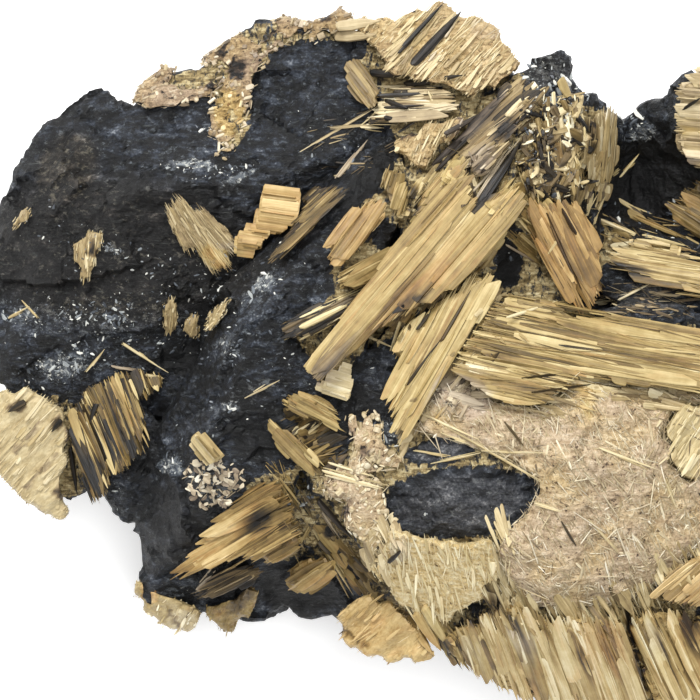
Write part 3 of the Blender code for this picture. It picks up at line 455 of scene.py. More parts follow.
def straw_skin(s, place):
    """The colour of the rutile that skins the ground, in chips from brown to cream."""
    chips = s.red(s.cells(s.stretched(place, (0.6, 3.0, 1), angle=35), 1.7))
    chips = s.swing(s.maths("MULTIPLY_ADD", chips, 0.3, 0.34), s.noise(place, 2.2, 6, 0.75), 1.1)
    return s.ramp(chips, [
        (0.1, (30, 25, 16)), (0.3, (88, 74, 46)), (0.5, (158, 138, 94)), (0.7, (206, 190, 146)),
        (0.9, (236, 228, 200)),
    ])


def hematite_material():
    """Blue-black hematite: dull tops, brown-black hollows and grey steps. brown and coat (a thin skin of
    rutile) are the plates' own differences from place to place. pale makes them lighter or darker: its dark
    zones paint the shade of hollows, clefts and shelves, and its light ones are partly the plates' own grey
    and partly painted sheen. What the dust attribute marks is partly a crust of pale bits and partly painted
    glints."""
    s = Shader("hematite")
    place, lift = s.millimetres(), s.attribute("pale")
    large = s.noise(s.stretched(place, (1, 1.5, 1), angle=-35), 0.2, 4, 0.6)
    middle = s.noise(s.stretched(place, (0.8, 1.5, 1.2)), 0.9, 6, 0.66)
    fine = s.noise(place, 5.0, 6, 0.7)
    contrast = s.maths("MINIMUM", 1.7, s.maths("MULTIPLY_ADD", lift, -4.0, 1.7))  # pale places are even
    shade = s.maths("MULTIPLY_ADD", s.maths("SUBTRACT", middle, 0.5), contrast, s.maths("ADD", lift, 0.49))
    shade = s.swing(s.swing(shade, large, 0.4), fine, 0.7)
    grains = s.noise(s.stretched(place, (1, 1.6, 1), (4, 1, 2), 20), 2.2, 7, 0.78)
    # pale patches on the grains: partly a crust of pale bits, partly painted highlights
    dust_and_glint_patches = s.patches(s.attribute("dust"), 0.34, grains, 0.72, 22.0)
    dust = s.ramp(s.noise(place, 2.6, 4, 0.7), [
        (0.36, (70, 75, 82)), (0.5, (132, 137, 140)), (0.64, (216, 215, 204)),
    ])
    skin = s.noise(s.stretched(place, (1.6, 0.7, 1), angle=35), 1.3, 7, 0.74)
    coat = s.patches(s.attribute("coat"), 0.6, skin, 1.01, 12.0)
    relief = s.bump(s.cells(place, 2.6, "Distance"), 0.00014, 0.4)
    relief = s.bump(grains, 0.0004, 0.6, s.bump(middle, 0.0005, 0.7, relief))
    matt = s.maths("MAXIMUM", dust_and_glint_patches, coat)
    return s.finish(
        Base_Color=s.mix(coat, s.mix(dust_and_glint_patches, bare_plate(s, place, shade, lift), dust), straw_skin(s, place)),
        Roughness=s.maths("MULTIPLY_ADD", matt, 0.25, s.maths("MULTIPLY_ADD", fine, 0.4, 0.27)),
        Metallic=0.1, Specular_IOR_Level=0.45, Normal=s.bump(fine, 0.00007, 0.9, relief),
    )


# Ragged ellipses on the plates: middle u and v, half length and width, angle, and what they add to brown,
# pale, dust and coat. A zone that lowers pale paints the shade of a hollow, a cleft or a shelf's underside,
# and the pale bits that a zone adds are partly painted glints.
PLATE_ZONES = [
    (110, 250, 170, 85, -4, 0.75, -0.06, 0.0, 0.0),  # the left plate's brown lower part
    (150, 128, 66, 26, 14, 0.0, 0.05, 0.0, 0.0),  # its bluish upper part
    (322, 76, 66, 44, 20, 0.0, 0.05, 0.0, 0.0),
    (64, 104, 34, 22, 40, 0.1, -0.12, 0.0, 0.0),
    (66, 164, 42, 34, 50, 0.9, 0.14, 0.3, 0.0),
    (18, 220, 26, 14, 50, 0.5, -0.1, 0.0, 0.0),
    (95, 318, 95, 26, 2, 0.1, 0.04, 0.42, 0.0),
    (60, 366, 34, 16, 8, 0.0, 0.06, 0.75, 0.0),
    (20, 312, 20, 10, 20, 0.0, 0.04, 0.5, 0.4),
    (114, 250, 16, 6, -15, 0.0, 0.0, 0.8, 0.0),
    (192, 164, 32, 6, -4, 0.0, 0.0, 0.95, 0.0),
    (238, 178, 26, 5, 22, 0.0, 0.0, 0.8, 0.0),
    (190, 196, 60, 10, 12, 0.2, -0.2, 0.1, 0.0),
    (170, 350, 60, 24, 20, 0.0, -0.1, 0.3, 0.0),
    # painted shade: the notch and the band along the diagonal plate are darkened by pale
    (178, 357, 24, 18, 0, 0.0, -0.3, -0.3, 0.0),  # the black notch
    (372, 176, 60, 18, 52, 0.1, -0.24, 0.0, 0.0),  # the black band up along the diagonal plate
    (292, 236, 60, 12, 48, 0.1, -0.24, 0.0, 0.0),
    (322, 214, 44, 12, 50, 0.3, 0.12, 0.2, 0.0),
    (258, 300, 50, 18, 58, 0.0, 0.06, 0.35, 0.0),
    (264, 283, 12, 8, 30, 0.0, 0.2, 0.8, 0.0),
    (228, 346, 14, 16, 0, 0.1, 0.12, 0.6, 0.0),
    (205, 322, 14, 34, -20, 0.0, -0.14, 0.0, 0.0),
    (300, 350, 34, 20, 40, 0.0, -0.1, 0.2, 0.0),
    (262, 388, 26, 8, 25, 0.2, 0.1, 0.5, 0.0),
    (205, 424, 34, 20, 20, 0.1, 0.12, 0.3, 0.0),
    (230, 405, 12, 5, 0, 0.0, 0.1, 0.8, 0.0),
    (170, 466, 16, 12, 0, -0.1, 0.1, 0.8, 0.0),
    (150, 440, 12, 50, -20, 0.1, -0.16, 0.0, 0.0),
    (196, 540, 40, 80, 40, 0.3, -0.12, 0.0, 0.0),
    (150, 560, 14, 46, 0, 0.1, 0.04, 0.0, 0.0),
    (252, 420, 30, 46, 10, 0.2, -0.12, 0.0, 0.0),
    (460, 502, 84, 36, 4, 0.35, 0.24, 0.0, -2.0),  # the window in the mat
    (440, 450, 34, 13, 8, 0.35, 0.24, 0.1, -2.0),
    (645, 298, 48, 18, 5, 0.55, 0.14, 0.3, -2.0),  # the grey lens in the hollow
    (376, 372, 24, 26, -20, 0.1, 0.1, 0.2, -2.0),
    (368, 402, 40, 20, -10, 0.2, -0.14, 0.1, -2.0),
    (392, 430, 14, 14, 0, 0.2, 0.0, 0.7, -2.0),
    # painted shade: the right hollow, darkened by pale
    (652, 184, 62, 58, 0, 0.4, -0.3, 0.1, -2.0),  # the right hollow
    (645, 132, 18, 10, 10, 0.0, 0.0, 0.8, 0.0),
    (508, 256, 14, 36, 0, 0.4, -0.3, 0.0, -1.0),
    (545, 75, 30, 22, 40, 0.5, 0.0, 0.55, -0.5),
    (386, 238, 14, 20, 40, 0.2, -0.12, 0.0, -2.0),
    (300, 590, 50, 30, 0, 0.3, -0.16, 0.0, -2.0),
    (320, 436, 30, 30, 0, 0.5, -0.14, 0.0, -2.0),
    (112, 500, 14, 24, 0, 0.2, 0.0, 0.3, 0.0),
    (213, 484, 30, 24, -10, 0.2, 0.05, 0.5, 0.72),
    (112, 372, 34, 12, -10, 0.0, 0.04, 0.3, 0.6),
    (180, 590, 36, 14, 0, 0.0, 0.1, 0.4, 0.3),
    (320, 250, 30, 60, -40, 0.1, 0.03, 0.2, 0.0),
]

# Where the ground between the groups is skinned with rutile, in pixels.
COATED = [
    [(392, 20), (440, 0), (520, 60), (532, 92), (560, 96), (600, 108), (620, 128), (612, 186), (622, 246),
     (600, 272), (580, 300), (600, 316), (700, 324), (700, 720), (480, 720), (420, 664), (378, 604),
     (318, 528), (268, 560), (258, 500), (296, 462), (340, 470), (356, 420), (400, 410), (436, 300),
     (400, 330), (330, 384), (296, 340), (336, 282), (384, 226), (396, 150), (380, 96), (356, 60)],
    [(-20, 400), (60, 396), (110, 430), (100, 500), (60, 520), (-20, 480)],
    [(186, 60), (240, 20), (300, 18), (340, 6), (398, 20), (380, 36), (280, 44), (250, 80), (250, 130),
     (226, 160), (212, 120), (214, 92), (160, 100), (146, 92)],
    [(330, 240), (360, 205), (384, 190), (400, 160), (420, 170), (400, 240), (350, 290), (330, 280)],
    [(300, 330), (340, 290), (372, 262), (410, 240), (390, 300), (340, 350)],
    [(240, 496), (256, 476), (278, 470), (300, 482), (322, 520), (330, 560), (300, 585), (262, 560),
     (240, 520)],
]

PLATE_ZONE_EDGE = 0.3
SWELL = 0.12  # mm that the broken skin stands out by on average
COARSE_FACETS = 5.5, 0.12  # their size in mm, and their steepness
FINE_FACETS = 2.2, 0.1
GRIT_SIZE, GRIT_HEIGHT = 1.3, 0.14  # mm
FOOT, FOOT_FADE = 0.2, 1.2  # mm over the resting face that stay flat, and over which the breaks grow in


def facet(point, size, steepness):
    """The height in mm of a broken surface made of flat tilted cells of that size in mm."""
    nearest = noise.voronoi(point / size)[1][0]
    tilt = noise.cell_vector(nearest * 41.7) * 2 - Vector((1, 1, 1))
    return (point - nearest * size).dot(tilt) * steepness


def hematite_plates():
    """The plates' solid, broken up into tilted facets, steps and grit."""
    piece = evenly_meshed("hematite_plates", merged_copy("hematite"), PLATE_VOXEL)
    mesh = piece.data
    places, normals = corners_of(mesh), corners_of(mesh, "normal")
    push = np.zeros(len(places), np.float32)
    for i, point in enumerate((places / MM).tolist()):
        point = Vector(point)
        coarse, fine = facet(point, *COARSE_FACETS), facet(point + Vector((7, 3, 1)), *FINE_FACETS)
        push[i] = SWELL + coarse + fine
        push[i] += GRIT_HEIGHT * noise.fractal(point / GRIT_SIZE, 0.8, 2.1, 4)
    grown_in = np.clip((places[:, 2] / MM - FOOT) / FOOT_FADE, 0, 1)
    places += normals * (push * MM * grown_in)[:, None]
    reshaped(mesh, places, hematite_material())
    shifts = in_zones(places, PLATE_ZONES, PLATE_ZONE_EDGE)
    coat = np.max([in_shape(places, outline) for outline in COATED], axis=0)
    coat *= np.clip((normals[:, 2] - 0.1) / 0.5, 0, 1)  # the flanks are bare
    # brown and coat are the plates' own colour. pale lightens and darkens them, and where it is low it
    # paints the shade of hollows, clefts and shelves; dust marks pale bits, partly painted glints.
    set_attribute(mesh, "brown", np.clip(0.12 + shifts[:, 0], 0, 1))
    set_attribute(mesh, "pale", shifts[:, 1])
    set_attribute(mesh, "dust", np.clip(0.03 + 0.8 * shifts[:, 2], 0, 1))
    set_attribute(mesh, "coat", np.clip(coat + shifts[:, 3], 0, 1))
    return piece


# ---------------------------------------------------------------- unit crystals


def shape_mesh(name, section, stations):
    """A unit crystal along +X. section is its outline as (y, z), and each station is (x, width, height,
    sideways shift)."""
    bm = bmesh.new()
    rings = []
    for x, width, height, shift in stations:
        rings.append([bm.verts.new((x, y * width + shift, z * height)) for y, z in section])
    for near, far in zip(rings, rings[1:]):
        for i in range(len(section)):
            j = (i + 1) % len(section)
            bm.faces.new((near[i], near[j], far[j], far[i]))
    bm.faces.new(rings[0])
    bm.faces.new(rings[-1])
    bmesh.ops.recalc_face_normals(bm, faces=bm.faces)
    mesh = mesh_of(bm, name)
    set_attribute(mesh, "unit", corners_of(mesh), "FLOAT_VECTOR")
    return mesh


ROOF = [(-0.5, -0.4), (-0.44, 0.28), (-0.12, 0.5), (0.32, 0.36), (0.5, -0.4)]
BROAD = [(-0.5, -0.5), (-0.47, 0.1), (-0.26, 0.38), (-0.02, 0.3), (0.2, 0.5), (0.44, 0.24), (0.5, -0.5)]
THREE_SIDED = [(-0.5, -0.35), (0.06, 0.5), (0.5, -0.35)]
BLUNT, CHUNK, POINTED, BLADE, NEEDLE, SHARD = range(6)
CRYSTALS = [
    ("blunt", ROOF, [
        (0, 0.7, 0.6, 0.05), (0.03, 1, 1, 0), (0.5, 1, 1, 0), (0.96, 1, 1, 0), (1, 0.6, 0.5, -0.08),
    ]),
    ("chunk", ROOF, [
        (0, 0.3, 0.3, 0), (0.14, 0.8, 0.8, 0.04), (0.45, 1, 1, 0), (0.8, 0.85, 0.85, -0.05),
        (1, 0.3, 0.3, 0),
    ]),
    ("pointed", ROOF, [
        (0, 0.35, 0.4, 0.1), (0.06, 0.9, 0.9, 0), (0.35, 1, 1, 0), (0.7, 0.75, 0.9, 0.04),
        (1, 0.08, 0.3, 0.1),
    ]),
    ("blade", BROAD, [
        (0, 0.4, 0.4, 0.2), (0.06, 0.9, 0.9, 0.03), (0.3, 1, 1, 0), (0.6, 0.97, 1, -0.01),
        (0.82, 0.78, 0.95, -0.08), (1, 0.14, 0.3, -0.3),
    ]),
    ("needle", THREE_SIDED, [(0, 0.5, 0.5, 0), (0.35, 1, 1, 0), (0.7, 0.9, 0.9, 0), (1, 0.3, 0.3, 0)]),
    ("shard", THREE_SIDED, [(0, 0.5, 0.4, 0.2), (0.5, 1, 1, 0), (1, 0.3, 0.5, -0.2)]),
]


def crystal_shapes():
    """The collection of unit crystals, in the order of the kinds above."""
    shapes = bpy.data.collections.new("crystal_shapes")
    for i, (name, section, stations) in enumerate(CRYSTALS):
        name = f"shape_{i}_{name}"
        shapes.objects.link(bpy.data.objects.new(name, shape_mesh(name, section, stations)))
    return shapes


# ---------------------------------------------------------------- laths on points


def lath_tree():
    """Puts a crystal on each point, stretched along the point's run vector."""
    t = Tree("laths_on_points", [("Shapes", "NodeSocketCollection"), ("Finish", "NodeSocketMaterial")])
    shapes = t.node("GeometryNodeCollectionInfo", {
        "Collection": t.given["Shapes"], "Separate Children": True, "Reset Children": True,
    }).outputs["Instances"]
    run, up = t.named("run", "FLOAT_VECTOR"), t.named("up", "FLOAT_VECTOR")
    turn = t.node("FunctionNodeAxesToRotation", {"Primary Axis": run, "Secondary Axis": up},
                  primary_axis="X", secondary_axis="Z").outputs["Rotation"]
    length = t.vector("LENGTH", {0: run}, "Value")
    sizes = {"X": length, "Y": t.named("wide"), "Z": t.named("thick")}
    size = t.node("ShaderNodeCombineXYZ", sizes).outputs["Vector"]
    placed = t.node("GeometryNodeInstanceOnPoints", {
        "Points": t.store(t.given["Geometry"], "size", size), "Instance": shapes, "Pick Instance": True,
        "Instance Index": t.named("kind", "INT"), "Rotation": turn, "Scale": size,
    }).outputs["Instances"]
    whole = t.geometry("GeometryNodeRealizeInstances", {"Geometry": placed})
    across = t.vector("MULTIPLY", {0: t.named("unit", "FLOAT_VECTOR"), 1: t.named("size", "FLOAT_VECTOR")})
    offset = t.vector("SCALE", {0: t.named("run", "FLOAT_VECTOR"), "Scale": 60.0})  # no two laths alike
    grain = t.vector("SCALE", {0: t.vector("ADD", {0: across, 1: offset}), "Scale": 1000.0})
    whole = t.store(whole, "grain", grain)
    whole = t.drop(whole, "run", "up", "wide", "thick", "kind", "unit", "size")
    finished = {"Geometry": whole, "Material": t.given["Finish"]}
    return t.put_out(t.geometry("GeometryNodeSetMaterial", finished))


DARKEST = 0.02  # the least tone of a lath


class Laths:
    """A list of laths: where each starts, its run vector, which way is up, its sizes, colour and kind."""

    KEYS = {"run": "FLOAT_VECTOR", "up": "FLOAT_VECTOR", "wide": "FLOAT", "thick": "FLOAT", "tone": "FLOAT",
            "hue": "FLOAT", "kind": "INT"}

    def __init__(self):
        self.places = []
        self.rows = {key: [] for key in self.KEYS}

    def add(self, place, run, up, wide, thick, tone, hue, kind):
        """wide and thick are in mm."""
        self.places.append(place[:])
        values = run[:], up[:], wide * MM, thick * MM, min(max(tone, DARKEST), 1.0), hue, kind
        for key, value in zip(self.KEYS, values):
            self.rows[key].append(value)

    def grown(self, name, tree, shapes, finish):
        """The laths as one plain mesh object."""
        mesh = bpy.data.meshes.new(name)
        mesh.vertices.add(len(self.places))
        mesh.vertices.foreach_set("co", np.asarray(self.places, np.float32).ravel())
        for key, kind in self.KEYS.items():
            number = np.int32 if kind == "INT" else np.float32
            set_attribute(mesh, key, np.asarray(self.rows[key], number), kind)
        return tree.apply(object_of(name, mesh), Shapes=shapes, Finish=finish)


# ---------------------------------------------------------------- what each group looks like

GROWN_LENGTH = 0.8, 2.4  # mm, of the laths between the groups where their layer gives none


def lath_layer(amount, wide, thick, kinds, lift, share=None, length=GROWN_LENGTH, stray=1, tone=0.0):
    """A layer of laths. amount is how many there are to the square mm, wide and thick are the ranges of
    their widths and thicknesses in mm, kinds is what it mixes, and lift is how far it may lie above the bed
    in mm. share is the range of the share of its whole run that a lath in a sheaf takes, and length is the
    range of its length in mm in felt and between the groups. stray multiplies the look's, and tone adds to
    it."""
    return dict(amount=amount, wide=wide, thick=thick, kinds=kinds, lift=lift, share=share, length=length,
                stray=stray, tone=tone)


SHEAF = [
    lath_layer(1.3, (0.5, 1.8), (0.07, 0.12), (BLADE, BLADE, POINTED), 0.04, share=(0.45, 1.0), stray=0.5),
    lath_layer(2.0, (0.14, 0.5), (0.05, 0.1), (POINTED, POINTED, BLADE), 0.07, share=(0.2, 0.8), stray=0.9),
    lath_layer(0.7, (0.06, 0.11), (0.05, 0.09), (NEEDLE,), 0.14, share=(0.15, 0.5), stray=2.0, tone=0.05),
]
SPARSE = [dict(SHEAF[1], amount=0.5), SHEAF[2]]
BLOCK = [
    lath_layer(4.0, (0.6, 1.8), (0.06, 0.1), (BLUNT,), 0.06, share=(0.7, 1.0), stray=0.5),
    lath_layer(1.5, (0.12, 0.3), (0.06, 0.1), (BLUNT, POINTED), 0.1, share=(0.3, 0.9), tone=0.02),
]
FELT = [
    lath_layer(11, (0.04, 0.08), (0.04, 0.07), (NEEDLE,), 0.02, length=(0.3, 1.2), tone=0.03),
    lath_layer(1.2, (0.07, 0.2), (0.05, 0.1), (POINTED, NEEDLE, SHARD), 0.04, length=(0.4, 1.8)),
    lath_layer(0.25, (0.08, 0.13), (0.06, 0.1), (NEEDLE, POINTED), 0.1, length=(1.5, 4.0), tone=0.1),
]
CRUST = [
    lath_layer(3, (0.2, 0.6), (0.16, 0.36), (CHUNK, CHUNK, BLUNT), 0.06, length=(0.25, 0.8), tone=0.03),
    lath_layer(3, (0.06, 0.14), (0.06, 0.1), (NEEDLE, CHUNK), 0.1, length=(0.25, 0.9), tone=0.06),
]
FUZZ = [
    lath_layer(2.2, (0.1, 0.4), (0.04, 0.08), (POINTED, POINTED, BLADE), 0.04, share=(0.08, 0.4), stray=1.4),
    lath_layer(2.4, (0.05, 0.09), (0.04, 0.08), (NEEDLE,), 0.08, share=(0.05, 0.25), stray=3.0, tone=0.06),
]
LITTER = [
    lath_layer(1.6, (0.07, 0.26), (0.05, 0.1), (POINTED, POINTED, NEEDLE), 0.06, length=(0.5, 2.6)),
    lath_layer(2.0, (0.05, 0.09), (0.04, 0.08), (NEEDLE,), 0.1, length=(0.5, 2.0), stray=1.4, tone=0.06),
]
BRIDGES = [
    lath_layer(1.0, (0.25, 0.9), (0.05, 0.1), (POINTED, BLADE), 0.05, length=(1.5, 4.0), stray=0.6),
    *LITTER,
]
VERMIFORM = [
    lath_layer(4, (0.25, 0.7), (0.05, 0.1), (SHARD, BLADE, CHUNK), 0.03, length=(0.3, 0.8)),
    lath_layer(4, (0.08, 0.2), (0.06, 0.1), (SHARD, CHUNK), 0.06, length=(0.2, 0.6)),
]
CRUMBS = [
    lath_layer(2.2, (0.3, 1.2), (0.16, 0.4), (POINTED, CHUNK, BLADE), 0.1, length=(0.5, 2.2), tone=-0.04),
    lath_layer(2.5, (0.1, 0.3), (0.1, 0.2), (SHARD, CHUNK, NEEDLE), 0.3, length=(0.3, 1.2), tone=0.06),
]


def looks(tone, spread=0.1, hue=0.0, stray=4, fine=1.0, long=0.0, layers=SHEAF, bed=0.85, crown=0.25,
          fray=0.3, cover=1.0, matted=False):
    """What a group looks like. spread is how far its laths' tones lie from its own on either side. stray is
    how many degrees the laths turn away from their run. fine below 1 makes them narrower and closer. long
    is how near the shortest ones come to the whole run. bed is the bed's tone as a share of the laths'.
    crown is how much higher the middle of a sheaf is than its sides, and fray is how far a lath's tip may
    stand out past the outline, both in mm. cover is the share of the laths that is kept, and a matted bed
    is felt."""
    return dict(tone=tone, spread=spread, hue=hue, stray=stray, fine=fine, long=long, layers=layers, bed=bed,
                crown=crown, fray=fray, cover=cover, matted=matted, felt=False)


def along(angle, *given, **more):
    """A look with parallel laths at that angle."""
    return dict(looks(*given, **more), run=lambda place: heading(angle))


def fan(u, v, *given, **more):
    """A look whose laths spread out of that pixel."""
    return dict(looks(*given, **more), run=lambda place: levelled(place - here(u, v)).normalized())


def felt(angle, *given, **more):
    """A look with fibres that lie every way, most of them close to that angle."""
    return dict(along(angle, *given, **more), felt=True, matted=True)


# What the small leaves on the plates share.
LEAF = dict(stray=6, fine=0.5, layers=FUZZ, fray=0.1)

